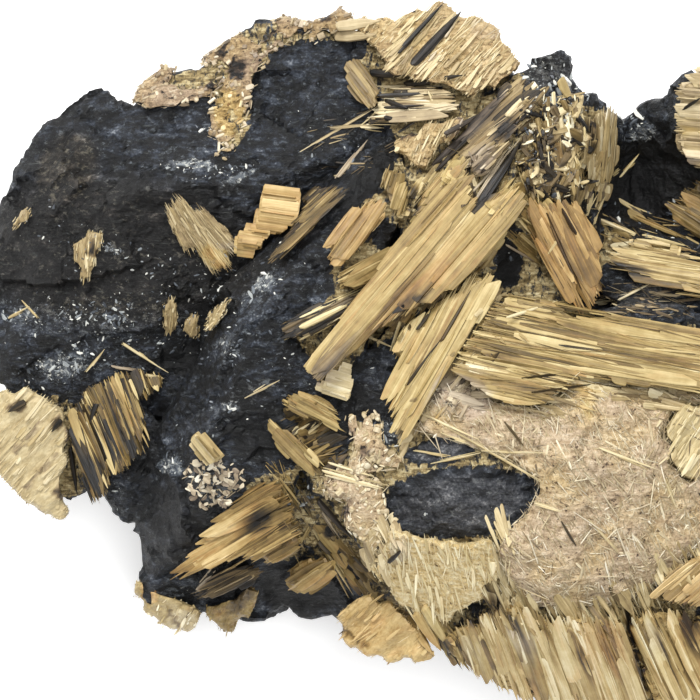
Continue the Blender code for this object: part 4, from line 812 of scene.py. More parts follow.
# Each crystal group's look, and its outline in pixels, seen from above.
GROUPS = {
    "rutile_long_sheaf": (along(49, 0.5, 0.08, -0.1, stray=1.4, fine=1.3, long=0.7, cover=0.5), [
        (308, 372), (318, 356), (334, 336), (352, 314), (366, 296), (382, 276), (402, 250), (412, 234),
        (416, 216), (422, 198), (436, 180), (454, 165), (468, 162), (467, 190), (475, 206), (494, 195),
        (512, 186), (519, 199), (511, 214), (499, 227), (486, 242), (472, 258), (460, 272), (446, 287),
        (434, 296), (420, 303), (406, 314), (386, 323), (370, 328), (362, 338), (350, 354), (336, 368),
        (319, 381)
    ]),
    "rutile_broad_sheaf": (along(60, 0.58, 0.07, stray=2.5, fine=1.1, long=0.5, cover=0.5), [
        (398, 446), (395, 420), (386, 400), (392, 378), (398, 362), (393, 348), (402, 329), (416, 316),
        (430, 307), (446, 298), (458, 286), (470, 276), (486, 274), (497, 284), (492, 302), (478, 318),
        (462, 338), (448, 360), (436, 382), (424, 408), (412, 436), (403, 450)
    ]),
    "rutile_peak_blades": (along(42, 0.38, 0.16, 0.35, stray=4, bed=0.7), [
        (436, 168), (452, 150), (470, 132), (488, 116), (502, 96), (520, 80), (536, 88), (532, 108),
        (524, 124), (514, 138), (500, 154), (488, 170), (476, 182), (472, 164), (456, 159)
    ]),
    "rutile_brown_sheaf": (along(-62, 0.46, 0.12, -0.6, stray=4, long=0.3, cover=0.8), [
        (516, 209), (524, 202), (542, 206), (560, 203), (580, 209), (590, 232), (600, 258), (607, 279),
        (599, 290), (592, 302), (589, 312), (572, 317), (566, 300), (556, 282), (546, 264), (534, 246),
        (537, 232), (526, 222)
    ]),
    "rutile_peak_crumbs": (felt(-70, 0.43, 0.42, 0.1, layers=CRUMBS, bed=0.2, fray=0.1), [
        (536, 114), (550, 106), (566, 88), (576, 98), (582, 122), (577, 152), (579, 176), (576, 200),
        (544, 200), (526, 190), (520, 170), (528, 156), (542, 142), (538, 128)
    ]),
    "rutile_shoulder_block": (along(86, 0.55, 0.16, 0.3, stray=3, fine=0.8, long=0.4, cover=0.8), [
        (583, 150), (584, 124), (596, 116), (606, 106), (617, 114), (616, 140), (612, 181), (600, 182),
        (584, 176)
    ]),
    "rutile_top_crust": (
        along(48, 0.62, 0.08, 0.35, stray=5, layers=FUZZ, bed=0.95, fray=0.05, matted=True),
        [(356, 18), (400, 17), (420, 8), (435, 1), (450, 2), (463, 15), (485, 18), (493, 14), (498, 30),
         (510, 46), (520, 62), (516, 72), (500, 80), (490, 96), (478, 106), (464, 102), (459, 92),
         (444, 84), (410, 82), (384, 74), (376, 64), (379, 48), (364, 44), (354, 34)],
    ),
    "rutile_crust_lobe": (
        along(66, 0.64, 0.1, 0.3, stray=5, layers=FUZZ, bed=0.95, fray=0.05, matted=True),
        [(456, 119), (474, 112), (464, 126), (450, 142), (442, 156), (432, 170), (418, 173), (404, 165),
         (396, 155), (394, 142), (410, 134), (422, 125), (442, 123)],
    ),
    "rutile_leaning_lath": (along(-53, 0.36, 0.05, 0.1, stray=1.5, fine=1.2, long=0.8, fray=0.1), [
        (344, 62), (352, 63), (367, 80), (379, 96), (377, 106), (370, 109), (358, 94), (346, 76)
    ]),
    "rutile_crossed_laths": (along(2, 0.56, 0.24, 0.5, stray=5, fine=0.5, bed=0.3, cover=0.45), [
        (382, 90), (406, 87), (442, 88), (454, 96), (458, 107), (444, 118), (410, 120), (384, 119),
        (362, 128), (374, 114), (382, 104)
    ]),
    "rutile_rim_crust": (felt(30, 0.53, 0.14, 0.85, layers=CRUST, bed=0.92, fray=0.1, cover=0.6), [
        (132, 99), (139, 83), (154, 72), (161, 64), (174, 68), (170, 83), (186, 87), (204, 85), (214, 76),
        (212, 63), (201, 62), (204, 54), (222, 42), (240, 31), (246, 37), (260, 41), (268, 28), (272, 19),
        (286, 16), (310, 21), (330, 15), (340, 6), (352, 16), (350, 31), (340, 30), (326, 35), (312, 48),
        (300, 43), (284, 45), (274, 52), (266, 66), (254, 72), (252, 100), (246, 120), (242, 136),
        (232, 140), (234, 150), (226, 160), (218, 156), (219, 140), (202, 132), (210, 126), (210, 112),
        (217, 99), (204, 99), (186, 104), (160, 107), (144, 106)
    ]),
    "rutile_pendant_fan": (
        fan(136, 136, 0.58, 0.08, 0.4, stray=4, fine=0.45, layers=FUZZ, crown=0.1, fray=0.5),
        [(166, 204), (177, 192), (192, 199), (206, 212), (220, 224), (230, 232), (232, 242), (240, 250),
         (247, 256), (240, 264), (234, 270), (222, 268), (204, 272), (196, 262), (186, 254), (178, 240),
         (169, 222)],
    ),
    "rutile_bright_block": (
        along(-8, 0.56, 0.05, -0.5, stray=1.0, long=0.8, crown=0.1, fray=0.1, layers=BLOCK),
        [(263, 193), (300, 199), (298, 214), (288, 226), (272, 229), (262, 242), (252, 250), (234, 245),
         (240, 234), (256, 226), (260, 210)],
    ),
    "rutile_edge_sheaf": (along(42, 0.28, 0.14, 0.1, stray=2.5, fine=0.6, long=0.4), [
        (304, 202), (314, 190), (332, 188), (347, 189), (334, 208), (314, 224), (298, 242), (282, 258),
        (268, 264), (280, 246), (290, 232), (302, 216)
    ]),
    "rutile_left_leaf": (along(84, 0.6, 0.14, 0.3, **LEAF), [
        (93, 216), (100, 224), (103, 244), (93, 254), (97, 274), (91, 288), (83, 285), (74, 270),
        (73, 242), (86, 238), (90, 226)
    ]),
    "rutile_edge_leaf": (along(52, 0.62, 0.1, 0.35, stray=5, fine=0.5, layers=FUZZ, fray=0.1), [
        (7, 230), (16, 214), (28, 202), (31, 214), (23, 223), (14, 229)
    ]),
    "rutile_notch_leaf_left": (along(86, 0.58, 0.14, 0.3, **LEAF), [
        (164, 300), (174, 294), (177, 316), (174, 338), (164, 336), (162, 318)
    ]),
    "rutile_notch_leaf_middle": (along(76, 0.56, 0.14, 0.3, **LEAF), [
        (182, 325), (190, 314), (197, 310), (199, 324), (198, 339), (184, 335)
    ]),
    "rutile_notch_leaf_right": (along(50, 0.66, 0.12, 0.3, **LEAF), [
        (203, 326), (210, 312), (222, 302), (234, 295), (230, 308), (220, 320), (212, 330), (203, 334)
    ]),
    "rutile_lower_left_fan": (
        along(47, 0.7, 0.06, 0.35, stray=3, layers=FUZZ, crown=0.1, cover=0.5, bed=0.97, fray=0.05),
        [(-16, 410), (-8, 394), (10, 388), (30, 387), (40, 392), (50, 398), (58, 405), (63, 416),
         (66, 430), (70, 442), (65, 454), (65, 464), (59, 478), (54, 488), (64, 502), (66, 516), (60, 522),
         (48, 519), (32, 510), (16, 498), (0, 483), (-14, 470)],
    ),
    "rutile_side_fan": (along(-68, 0.34, 0.26, 0.0, stray=5, fine=0.6, long=0.3, bed=0.4), [
        (67, 409), (71, 403), (79, 406), (82, 396), (90, 388), (102, 384), (114, 373), (140, 372),
        (160, 378), (161, 387), (144, 394), (134, 404), (146, 430), (152, 450), (140, 452), (122, 470),
        (108, 476), (104, 496), (92, 505), (76, 506), (76, 486), (74, 460), (72, 434)
    ]),
    "rutile_saddle_leaf_low": (
        along(54, 0.56, 0.06, -0.5, stray=2, fine=0.9, long=0.6, cover=0.6, fray=0.1),
        [(324, 256), (328, 244), (336, 230), (346, 216), (360, 204), (376, 198), (387, 204), (384, 218),
         (374, 228), (366, 240), (356, 254), (346, 269), (339, 274), (333, 264)],
    ),
    "rutile_saddle_leaf_high": (
        along(72, 0.5, 0.08, 0.1, stray=2, fine=0.7, long=0.5, cover=0.7, fray=0.1),
        [(380, 192), (383, 176), (390, 163), (399, 168), (399, 180), (406, 184), (408, 200), (403, 216),
         (394, 220), (390, 202)],
    ),
    "rutile_upper_spray": (along(30, 0.44, 0.12, 0.1, stray=3, fine=0.6, long=0.5), [
        (338, 284), (342, 275), (364, 264), (386, 252), (402, 242), (398, 254), (384, 270), (370, 280),
        (354, 286), (344, 290)
    ]),
    "rutile_needle_spray": (along(26, 0.16, 0.2, 0.3, stray=6, fine=0.45, long=0.4, bed=0.25, cover=0.6), [
        (282, 340), (286, 322), (306, 312), (330, 302), (352, 294), (364, 292), (350, 310), (340, 319),
        (324, 329), (306, 337)
    ]),
    "rutile_wide_sheaf": (along(-11, 0.49, 0.13, stray=5, fine=0.6, long=0.2, cover=0.5), [
        (462, 350), (476, 332), (489, 314), (498, 299), (510, 294), (520, 303), (540, 302), (556, 304),
        (564, 319), (588, 318), (620, 318), (660, 322), (700, 326), (756, 340), (770, 370), (750, 394),
        (700, 392), (660, 386), (620, 380), (600, 374), (578, 374), (560, 392), (542, 404), (510, 400),
        (484, 392), (464, 382), (449, 376)
    ]),
    "rutile_hollow_laths": (along(-9, 0.56, 0.14, 0.1, stray=3.5, long=0.5), [
        (609, 253), (630, 245), (649, 242), (656, 250), (680, 253), (714, 262), (744, 280), (750, 306),
        (714, 298), (690, 288), (666, 282), (640, 279), (619, 283), (613, 270)
    ]),
    "rutile_hollow_edge": (along(-32, 0.26, 0.14, stray=10, cover=0.8), [
        (668, 204), (684, 196), (694, 182), (720, 180), (750, 192), (760, 226), (746, 250), (716, 244),
        (704, 232), (684, 222)
    ]),
    "rutile_right_block": (along(-5, 0.58, 0.07, 0.45, stray=1.5, long=0.4, cover=0.7), [
        (676, 88), (686, 79), (700, 70), (722, 70), (746, 88), (756, 120), (758, 156), (730, 170),
        (704, 169), (686, 160), (677, 140), (676, 120)
    ]),
    "rutile_right_sheaf": (
        along(58, 0.72, 0.03, 0.15, stray=2, layers=FUZZ, cover=0.5, bed=0.97, fray=0.1),
        [(665, 426), (676, 408), (694, 400), (740, 404), (762, 430), (764, 470), (734, 486), (700, 482),
         (676, 474), (667, 450)],
    ),
    "rutile_woven_mat": (felt(-55, 0.65, 0.15, 0.75, layers=FELT, bed=1.0), [
        (416, 430), (427, 408), (440, 384), (464, 386), (486, 396), (510, 404), (540, 410), (560, 399),
        (580, 380), (620, 386), (690, 396), (750, 398), (772, 440), (770, 500), (754, 530), (700, 548),
        (674, 564), (654, 582), (636, 596), (614, 604), (580, 609), (550, 608), (526, 599), (502, 570),
        (498, 548), (510, 526), (528, 508), (538, 486), (534, 474), (510, 460), (480, 449), (450, 439)
    ]),
    "rutile_apron": (
        along(-76, 0.83, 0.07, -0.05, stray=9, layers=FUZZ, bed=0.98, fray=0.2, cover=0.5, matted=True),
        [(389, 509), (400, 524), (416, 538), (428, 528), (446, 538), (462, 542), (476, 540), (490, 534),
         (494, 552), (497, 574), (496, 590), (482, 600), (466, 610), (448, 622), (436, 638), (418, 629),
         (404, 610), (386, 586), (368, 566), (376, 556), (390, 538)],
    ),
    "rutile_cleft_ridge": (felt(60, 0.66, 0.1, 0.7, layers=CRUST, bed=0.97, fray=0.1), [
        (344, 416), (364, 412), (376, 413), (382, 424), (384, 444), (394, 452), (404, 459), (401, 468),
        (380, 470), (370, 474), (380, 482), (385, 498), (386, 518), (384, 538), (374, 550), (362, 556),
        (352, 550), (338, 532), (326, 514), (318, 496), (319, 480), (327, 470), (347, 466), (353, 452),
        (352, 436)
    ]),
    "rutile_cream_wedge": (
        along(-18, 0.78, 0.05, 0.3, stray=1, long=0.6, crown=0.1, fray=0.1, layers=BLOCK),
        [(316, 386), (330, 377), (343, 368), (350, 372), (352, 386), (348, 399), (330, 393)],
    ),
    "rutile_basket_rim": (along(-28, 0.56, 0.1, stray=3, fine=0.7, long=0.4), [
        (280, 410), (282, 400), (296, 394), (316, 398), (328, 405), (336, 416), (344, 430), (347, 448),
        (339, 444), (330, 428), (318, 417), (302, 413), (288, 417)
    ]),
    "rutile_basket_rail": (along(-46, 0.42, 0.1, stray=2.5, fine=0.8, long=0.4), [
        (268, 423), (276, 418), (286, 430), (300, 445), (312, 454), (323, 462), (319, 473), (306, 468),
        (290, 456), (276, 440)
    ]),
    "rutile_chip": (along(-50, 0.5, 0.06, 0.2, stray=1, long=0.8, crown=0.1, fray=0.05, layers=BLOCK), [
        (190, 435), (202, 436), (214, 448), (222, 457), (212, 462), (203, 453)
    ]),
    "rutile_lower_fan": (along(31, 0.42, 0.1, -0.2, stray=3, fine=0.7, long=0.3, cover=0.5), [
        (168, 583), (184, 563), (202, 543), (214, 525), (224, 510), (232, 499), (227, 489), (237, 482),
        (254, 476), (274, 473), (284, 486), (294, 506), (302, 530), (298, 550), (280, 561), (260, 563),
        (242, 555), (220, 561), (194, 573)
    ]),
    "rutile_under_laths": (along(28, 0.16, 0.16, 0.3, stray=3, fine=0.7, long=0.3), [
        (193, 594), (210, 583), (230, 573), (248, 567), (264, 570), (252, 581), (232, 590), (214, 597),
        (198, 600)
    ]),
    "rutile_wedge_tip": (along(74, 0.46, 0.06, 0.0, stray=3, layers=FUZZ, cover=0.3, bed=0.97, fray=0.0), [
        (203, 614), (207, 604), (222, 606), (238, 597), (250, 588), (260, 585), (256, 602), (250, 616),
        (244, 628), (230, 640), (224, 640), (212, 628)
    ]),
    "rutile_lower_tips": (along(62, 0.66, 0.24, 0.2, stray=8, layers=FUZZ, cover=0.6, bed=0.9, fray=0.05), [
        (132, 602), (132, 586), (140, 576), (149, 583), (154, 596), (170, 601), (186, 601), (194, 608),
        (199, 616), (194, 630), (182, 639), (172, 637), (158, 629), (142, 616)
    ]),
    "rutile_fang": (along(35, 0.5, 0.08, -0.2, stray=2, long=0.5, cover=0.4, fray=0.1), [
        (283, 590), (285, 576), (300, 563), (318, 557), (334, 561), (334, 572), (316, 585), (300, 593)
    ]),
    "rutile_lower_lobe": (
        along(42, 0.66, 0.05, -0.4, stray=4, layers=FUZZ, cover=0.3, bed=0.97, fray=0.0),
        [(334, 622), (342, 613), (356, 601), (370, 595), (385, 591), (400, 607), (414, 624), (427, 638),
         (435, 650), (434, 660), (416, 664), (398, 665), (378, 664), (364, 657), (350, 650), (334, 642)],
    ),
    "rutile_lower_laths": (
        along(-69, 0.66, 0.14, -0.2, stray=4, fine=0.9, long=0.1, cover=0.32, bed=0.93, matted=True),
        [(444, 640), (456, 627), (470, 617), (486, 610), (504, 600), (520, 606), (550, 615), (582, 617),
         (612, 613), (624, 634), (636, 664), (648, 700), (654, 734), (610, 736), (560, 718), (520, 700),
         (486, 680), (460, 664), (448, 654)],
    ),
    "rutile_corner_laths": (along(40, 0.62, 0.07, -0.5, stray=2, long=0.5, cover=0.5), [
        (649, 596), (658, 584), (674, 569), (694, 557), (710, 552), (750, 538), (770, 550), (760, 586),
        (726, 602), (700, 608), (678, 602)
    ]),
    "rutile_corner_fringe": (
        along(-64, 0.66, 0.14, -0.2, stray=4.5, fine=0.9, long=0.1, cover=0.32, bed=0.93, matted=True),
        [(628, 620), (646, 610), (666, 609), (686, 615), (706, 620), (730, 612), (754, 608), (760, 630),
         (740, 676), (706, 718), (664, 728), (650, 684), (638, 648)],
    ),
}

# Thin growth between the groups: its look, and its outline in pixels.
GROWTH = {
    "shaded_slope": (along(-50, 0.36, 0.08, stray=5), [
        (315, 525), (330, 530), (352, 548), (372, 572), (384, 588), (376, 598), (356, 590), (338, 574)
    ]),
    "left_slope": (along(-58, 0.42, 0.12, stray=10, layers=LITTER), [
        (268, 470), (285, 462), (300, 478), (312, 500), (306, 530), (298, 560), (282, 552), (290, 520),
        (284, 496)
    ]),
    "brown_pocket": (along(55, 0.3, 0.08, stray=6, fine=0.7), [
        (376, 322), (395, 308), (410, 293), (425, 293), (440, 295), (422, 310), (408, 330), (402, 326),
        (390, 324)
    ]),
    "sheaf_join": (along(52, 0.46, 0.14, stray=5, fine=0.7), [
        (396, 332), (412, 312), (440, 291), (465, 262), (490, 238), (506, 224), (500, 244), (478, 274),
        (455, 284), (430, 302), (406, 332)
    ]),
    "sheaf_blend": (along(54, 0.5, 0.12, 0.0, stray=12, layers=BRIDGES, cover=0.5), [
        (438, 384), (462, 344), (492, 304), (522, 316), (500, 352), (486, 392), (450, 424), (436, 410)
    ]),
    "wide_end": (along(-18, 0.46, 0.16, 0.0, stray=34, layers=BRIDGES, cover=0.6), [
        (488, 320), (520, 316), (544, 328), (524, 352), (504, 374), (486, 396), (474, 378), (482, 346)
    ]),
    "sheaf_foot": (along(50, 0.56, 0.1, 0.3, stray=12, fine=0.7), [
        (434, 378), (446, 352), (470, 328), (488, 300), (506, 292), (502, 322), (474, 350), (452, 384)
    ]),
    "mat_top_edge": (along(-12, 0.58, 0.14, 0.3, stray=14, layers=BRIDGES), [
        (440, 374), (470, 388), (520, 402), (545, 406), (570, 388), (590, 376), (640, 386), (700, 396),
        (700, 416), (640, 404), (590, 394), (562, 414), (540, 424), (510, 418), (460, 404), (434, 394)
    ]),
    "mat_low_edge": (along(-64, 0.62, 0.15, 0.2, stray=14, layers=BRIDGES, cover=1.4), [
        (478, 586), (500, 580), (530, 594), (560, 602), (600, 600), (635, 588), (655, 570), (675, 553),
        (700, 540), (700, 566), (672, 580), (655, 597), (630, 618), (600, 626), (560, 628), (520, 622),
        (492, 610)
    ]),
    "apron_side": (along(-74, 0.7, 0.1, 0.3, stray=14, layers=BRIDGES), [
        (490, 532), (508, 520), (514, 556), (508, 600), (488, 600), (494, 560)
    ]),
    "apron_head": (along(-70, 0.66, 0.1, 0.4, stray=10, fine=0.6), [
        (372, 540), (392, 512), (402, 530), (410, 548), (386, 576), (364, 560)
    ]),
    "fringe_join": (along(-67, 0.5, 0.14, stray=6, fine=0.7), [
        (612, 606), (634, 606), (656, 700), (634, 700)
    ]),
    "corner_join": (along(-50, 0.46, 0.14, 0.1, stray=18, layers=LITTER), [
        (640, 588), (664, 596), (700, 596), (700, 628), (654, 626), (630, 612)
    ]),
    "lobe_join": (along(-56, 0.42, 0.14, stray=10, fine=0.7), [
        (424, 626), (446, 620), (462, 650), (472, 678), (440, 664)
    ]),
    "sheaf_side": (along(60, 0.62, 0.1, 0.4, stray=18, layers=LITTER, cover=0.7), [
        (656, 404), (678, 402), (668, 440), (674, 478), (696, 488), (676, 496), (652, 474), (648, 430)
    ]),
    "hollow_needles": (along(-24, 0.42, 0.2, 0.1, stray=16, layers=BRIDGES, cover=0.4), [
        (600, 214), (640, 204), (700, 222), (700, 262), (640, 258), (606, 240)
    ]),
    "saddle_needles": (along(24, 0.3, 0.2, 0.5, stray=26, layers=LITTER, cover=0.16), [
        (300, 130), (400, 96), (420, 130), (392, 160), (330, 180)
    ]),
    "olive_leaf": (along(-40, 0.42, 0.08, stray=5, fine=0.6), [
        (510, 236), (522, 234), (532, 246), (536, 260), (526, 262), (516, 252)
    ]),
    "brown_join": (along(-50, 0.46, 0.14, stray=16, fine=0.7), [
        (516, 204), (534, 198), (548, 206), (540, 226), (556, 250), (566, 262), (548, 260), (534, 240),
        (520, 226)
    ]),
    "pale_crust": (felt(20, 0.64, 0.17, 0.9, layers=VERMIFORM), [
        (183, 470), (196, 458), (214, 456), (232, 462), (245, 474), (240, 492), (226, 506), (205, 512),
        (192, 500), (184, 486)
    ]),
    "sheaf_skirt": (along(62, 0.6, 0.08, 0.3, stray=6, fine=0.7), [
        (395, 412), (405, 405), (420, 384), (440, 380), (434, 408), (420, 425), (412, 440), (402, 452),
        (396, 430)
    ]),
    "basket_floor": (along(30, 0.24, 0.12, stray=20, fine=0.6), [
        (284, 412), (300, 404), (318, 412), (332, 432), (344, 456), (330, 470), (306, 452), (292, 434)
    ]),
    "straw_wedge": (along(55, 0.6, 0.09, stray=5, fine=0.8), [
        (425, 175), (440, 168), (465, 158), (468, 162), (462, 180), (440, 195), (425, 205), (418, 215),
        (412, 212), (416, 190)
    ]),
    "straw_corner": (along(50, 0.56, 0.12, stray=14, fine=0.8), [
        (480, 205), (500, 185), (512, 178), (522, 190), (524, 215), (506, 222), (488, 218)
    ]),
    "mottled_brown": (along(-80, 0.36, 0.18, 0.3, stray=30, fine=0.6), [
        (458, 150), (476, 146), (478, 170), (474, 196), (466, 200), (460, 178)
    ]),
    "pink_crumbs": (along(40, 0.52, 0.18, 0.6, stray=30, fine=0.6), [
        (470, 142), (500, 122), (516, 112), (506, 138), (486, 160), (474, 176)
    ]),
    "peak_litter": (felt(-60, 0.44, 0.34, 0.3, layers=CRUMBS), [
        (522, 84), (545, 92), (562, 100), (582, 106), (586, 140), (566, 160), (562, 190), (548, 200),
        (530, 180), (520, 150)
    ]),
    "shoulder_litter": (along(70, 0.52, 0.16, 0.2, stray=26, fine=0.7), [
        (560, 152), (600, 150), (612, 186), (600, 214), (584, 206), (572, 190)
    ]),
    "sheaf_litter": (along(-14, 0.5, 0.16, 0.1, stray=16, layers=LITTER, cover=0.5), [
        (520, 330), (600, 340), (700, 352), (700, 396), (590, 384), (540, 392), (500, 380), (496, 350)
    ]),
    "brown_litter": (along(-62, 0.42, 0.16, 0.0, stray=14, layers=LITTER, cover=0.6), [
        (540, 210), (566, 226), (590, 262), (600, 290), (580, 300), (560, 270), (546, 240)
    ]),
    "mat_litter": (along(-55, 0.64, 0.13, 0.6, stray=40, layers=LITTER, cover=0.25), [
        (440, 400), (700, 410), (700, 600), (560, 606), (520, 560), (545, 500), (520, 470), (450, 440)
    ]),
    "hollow_litter": (along(-6, 0.46, 0.15, 0.5, stray=16, fine=0.5, layers=SPARSE), [
        (596, 296), (625, 282), (655, 276), (690, 290), (700, 316), (650, 318), (610, 314)
    ]),
}


# ---------------------------------------------------------------- laying the laths

DICE = 14  # random numbers for each lath
UNDERSIDE = -0.25  # a place that looks down further than this, as its normal's z, stays bare
TOP = 0.5  # one that looks up further than this lies on the display face
CREST = 0.6  # and one further than this lies on a sheaf's rounded back
COMBED_SHARE, COMBED_TURN = 0.55, math.radians(18)  # the felt fibres that keep to the run, and how closely
NARROWNESS = 1.5  # above 1, the narrow laths outnumber the wide ones
FINE_IN_WIDTH = 0.8  # the power at which a look's fine goes into the laths' widths
TONE_REACH = 1.7  # how far chance carries a lath's tone, as a multiple of the look's spread
HUE_RANGE = 0.6, 1.2  # a lath's hue, as a share of the look's
TURN_REACH = 1.6  # the furthest that a lath turns from its run, as a multiple of its stray
SLANT_SHARE = 0.7  # how much of its stray it may slant up or down
FIBRE_SLANT = 0.3  # and the same for a felt fibre, as its steepness
ROLL, GROWTH_ROLL = 0.25, 0.5  # how far laths roll about their run, in the groups and between them
PROBE = 0.1  # mm under the solid's surface, where the room for a lath is measured
CLEARANCE = 0.02  # mm over it, where a lath lies that isn't lifted
CROWN_TILT = 0.8  # how much the laths lean to a sheaf's sides, as a multiple of its crown
SUNK = 0.3  # the share of a lath's thickness that is sunk in what it lies on
END = 0.3 * MM  # a lath that comes this near to its run's end goes all the way
GROWTH_CROWDING = 1.3  # of the growth between the groups, as a multiple of its layers' own
BAND_WIDTH, BAND_TONE = 0.6, 0.16  # how often to the mm, and how much, the tone changes across a sheaf


class Outline:
    """A closed outline on the display face, given in pixels."""

    def __init__(self, pixels):
        self.starts = np.array([here(u, v)[:2] for u, v in pixels])
        self.edges = np.roll(self.starts, -1, axis=0) - self.starts

    def reach(self, place, run):
        """How far it is to the outline ahead and behind along run, seen from above, or None outside it."""
        level = math.hypot(run.x, run.y)
        x, y = run.x / level, run.y / level
        turn = x * self.edges[:, 1] - y * self.edges[:, 0]
        turn[turn == 0] = 1e-12
        to_x, to_y = self.starts[:, 0] - place.x, self.starts[:, 1] - place.y
        share = (to_x * y - to_y * x) / turn
        far = (to_x * self.edges[:, 1] - to_y * self.edges[:, 0]) / turn
        far = far[(share >= 0) & (share < 1)]
        ahead, behind = far[far > 0], -far[far <= 0]
        if len(ahead) % 2 == 0 or not len(behind):
            return None
        return ahead.min() / level, behind.min() / level

    def nearest(self, place):
        """The place itself if it is inside, else the nearest place on the outline, at the same height."""
        if self.reach(place, Vector((0.6, 0.8, 0))):
            return place
        to = np.array(place[:2]) - self.starts
        share = np.clip((to * self.edges).sum(1) / (self.edges**2).sum(1), 0, 1)
        found = self.starts + share[:, None] * self.edges
        x, y = found[np.argmin(((found - place[:2]) ** 2).sum(1))]
        return Vector((x, y, place.z))


def surface_samples(mesh, chance, amount):
    """Random points over the mesh, amount to the square millimetre, with their faces' normals."""
    mesh.calc_loop_triangles()
    corners = corners_of(mesh).astype(float)
    triangles = np.array([triangle.vertices[:] for triangle in mesh.loop_triangles])
    a, b, c = (corners[triangles[:, i]] for i in range(3))
    normal = np.cross(b - a, c - a)
    area = np.linalg.norm(normal, axis=1) / 2
    unit = normal / np.maximum(2 * area, 1e-15)[:, None]
    picked = chance.choice(len(area), int(area.sum() / MM**2 * amount), p=area / area.sum())
    r, s = chance.random(len(picked)), chance.random(len(picked))
    flip = r + s > 1
    r[flip], s[flip] = 1 - r[flip], 1 - s[flip]
    places = a[picked] + r[:, None] * (b - a)[picked] + s[:, None] * (c - a)[picked]
    return [(Vector(place), Vector(facing)) for place, facing in zip(places, unit[picked])]


def top_slope(mesh):
    """The mean normal of the faces that look up."""
    total = Vector((0, 0, 1e-9))
    for face in mesh.polygons:
        if face.normal.z > CREST:
            total += face.normal * face.area
    return total.normalized()


def measures(layer, look, dice):
    """A lath's width and thickness in mm, tone and kind."""
    low, high = layer["wide"]
    wide = low * (high / low) ** (dice[0] ** NARROWNESS) * look["fine"] ** FINE_IN_WIDTH
    thick = between(*layer["thick"], dice[1])
    tone = look["tone"] + layer["tone"] + look["spread"] * TONE_REACH * (dice[2] + dice[3] + dice[4] - 1.5)
    return wide, min(thick, wide), tone, layer["kinds"][int(dice[5] * len(layer["kinds"]))]


def slid(ahead, behind, length, share):
    """Where a lath of that length starts and ends, on a run that goes that far ahead and behind."""
    start = max(-behind, min(ahead - length, -length * share))
    return start, start + length


class Thatch:
    """The laths of one group: each lies on the solid's surface, and runs on to the group's outline."""

    def __init__(self, look, outline, solid, seed):
        self.look, self.outline, self.seed = look, outline, seed
        self.body, self.slope = tree_of(solid), top_slope(solid)
        self.laths = Laths()
        chance = np.random.default_rng(seed)
        for layer in look["layers"]:
            amount = layer["amount"] * look["cover"] / look["fine"]
            for place, normal in surface_samples(solid, chance, amount):
                dice = chance.random(DICE)
                if normal.z >= UNDERSIDE:
                    self.lay(layer, outline.nearest(place), normal, dice)

    def lay(self, layer, place, normal, dice):
        look = self.look
        wide, thick, tone, kind = measures(layer, look, dice)
        run = look["run"](place)
        side = Vector((-run.y, run.x, 0))
        if look["felt"]:
            found = self.fibre(layer, normal, run, side, dice)
        else:
            found = self.lath(layer, place, normal, run, side, thick, dice)
        if not found:
            return
        run, start, end, up, crown = found
        lift = dice[12] ** 2 * layer["lift"] + crown
        line = place + normal * (lift + CLEARANCE - SUNK * thick) * MM
        tone += BAND_TONE * noise.noise(Vector((line.dot(side) / MM * BAND_WIDTH, self.seed, 0)))
        hue = look["hue"] * between(*HUE_RANGE, dice[3])
        whole = run * (end - start)
        self.laths.add(line + run * start, whole, up.normalized(), wide, thick, tone, hue, kind)

    def fibre(self, layer, normal, run, side, dice):
        """A felt fibre's run, start and end on it, up vector and no crown."""
        turn = COMBED_TURN if dice[6] < COMBED_SHARE else math.pi
        angle = (dice[7] * 2 - 1) * turn
        run = run * math.cos(angle) + side * math.sin(angle)
        run = (run - normal * run.dot(normal)).normalized()
        run = (run + normal * (dice[8] - 0.5) * FIBRE_SLANT).normalized()
        reach = layer["length"][1] * MM
        start, end = slid(reach, reach, between(*layer["length"], dice[9] ** 1.6) * MM, dice[10])
        return run, start, end, self.tilted(normal, run, dice), 0.0

    def lath(self, layer, place, normal, run, side, thick, dice):
        """A sheaf lath's run, start and end on it, up vector and crown, or None where the run has no end."""
        look = self.look
        stray = math.radians(look["stray"] * layer["stray"])
        run.z = -run.dot(self.slope) / self.slope.z
        run = run + side * (dice[6] + dice[7] - 1) * stray * TURN_REACH
        run = (run + self.slope * (dice[8] - 0.5) * stray * SLANT_SHARE).normalized()
        inside = place - normal * (PROBE + 0.5 * thick) * MM
        room = self.room(inside, normal, place, run)
        if not room:
            return None
        ahead, behind = room
        shortest, longest = layer["share"]
        shortest = between(shortest, longest, look["long"])
        start, end = slid(ahead, behind, (ahead + behind) * between(shortest, longest, dice[9]), dice[10])
        at_start, at_end = start < END - behind, end > ahead - END
        tip = look["fray"] * dice[11] ** 2 * MM
        start -= tip * at_start
        end += tip * at_end
        if at_start and not at_end:
            start, end = end, start
        left, right = (self.body.ray_cast(inside, way)[3] or 0.0 for way in (side, -side))
        share = (right - left) / max(left + right, MM)
        up = self.tilted(normal, run, dice) + side * share * look["crown"] * CROWN_TILT
        return run, start, end, up, look["crown"] * (1 - share**2) * (normal.z > CREST)

    def room(self, inside, normal, place, run):
        """How far the run can go ahead and behind, within the solid and the outline."""
        solid = self.body.ray_cast(inside, run)[3], self.body.ray_cast(inside, -run)[3]
        level = self.outline.reach(place, run)
        if None in solid or (normal.z > TOP and not level):
            return None
        if not level:
            return solid
        return level if normal.z > TOP else [min(far, near) for far, near in zip(solid, level)]

    def tilted(self, normal, run, dice):
        """The normal, rolled a little about the run."""
        return normal + run.cross(normal) * (dice[13] - 0.5) * ROLL


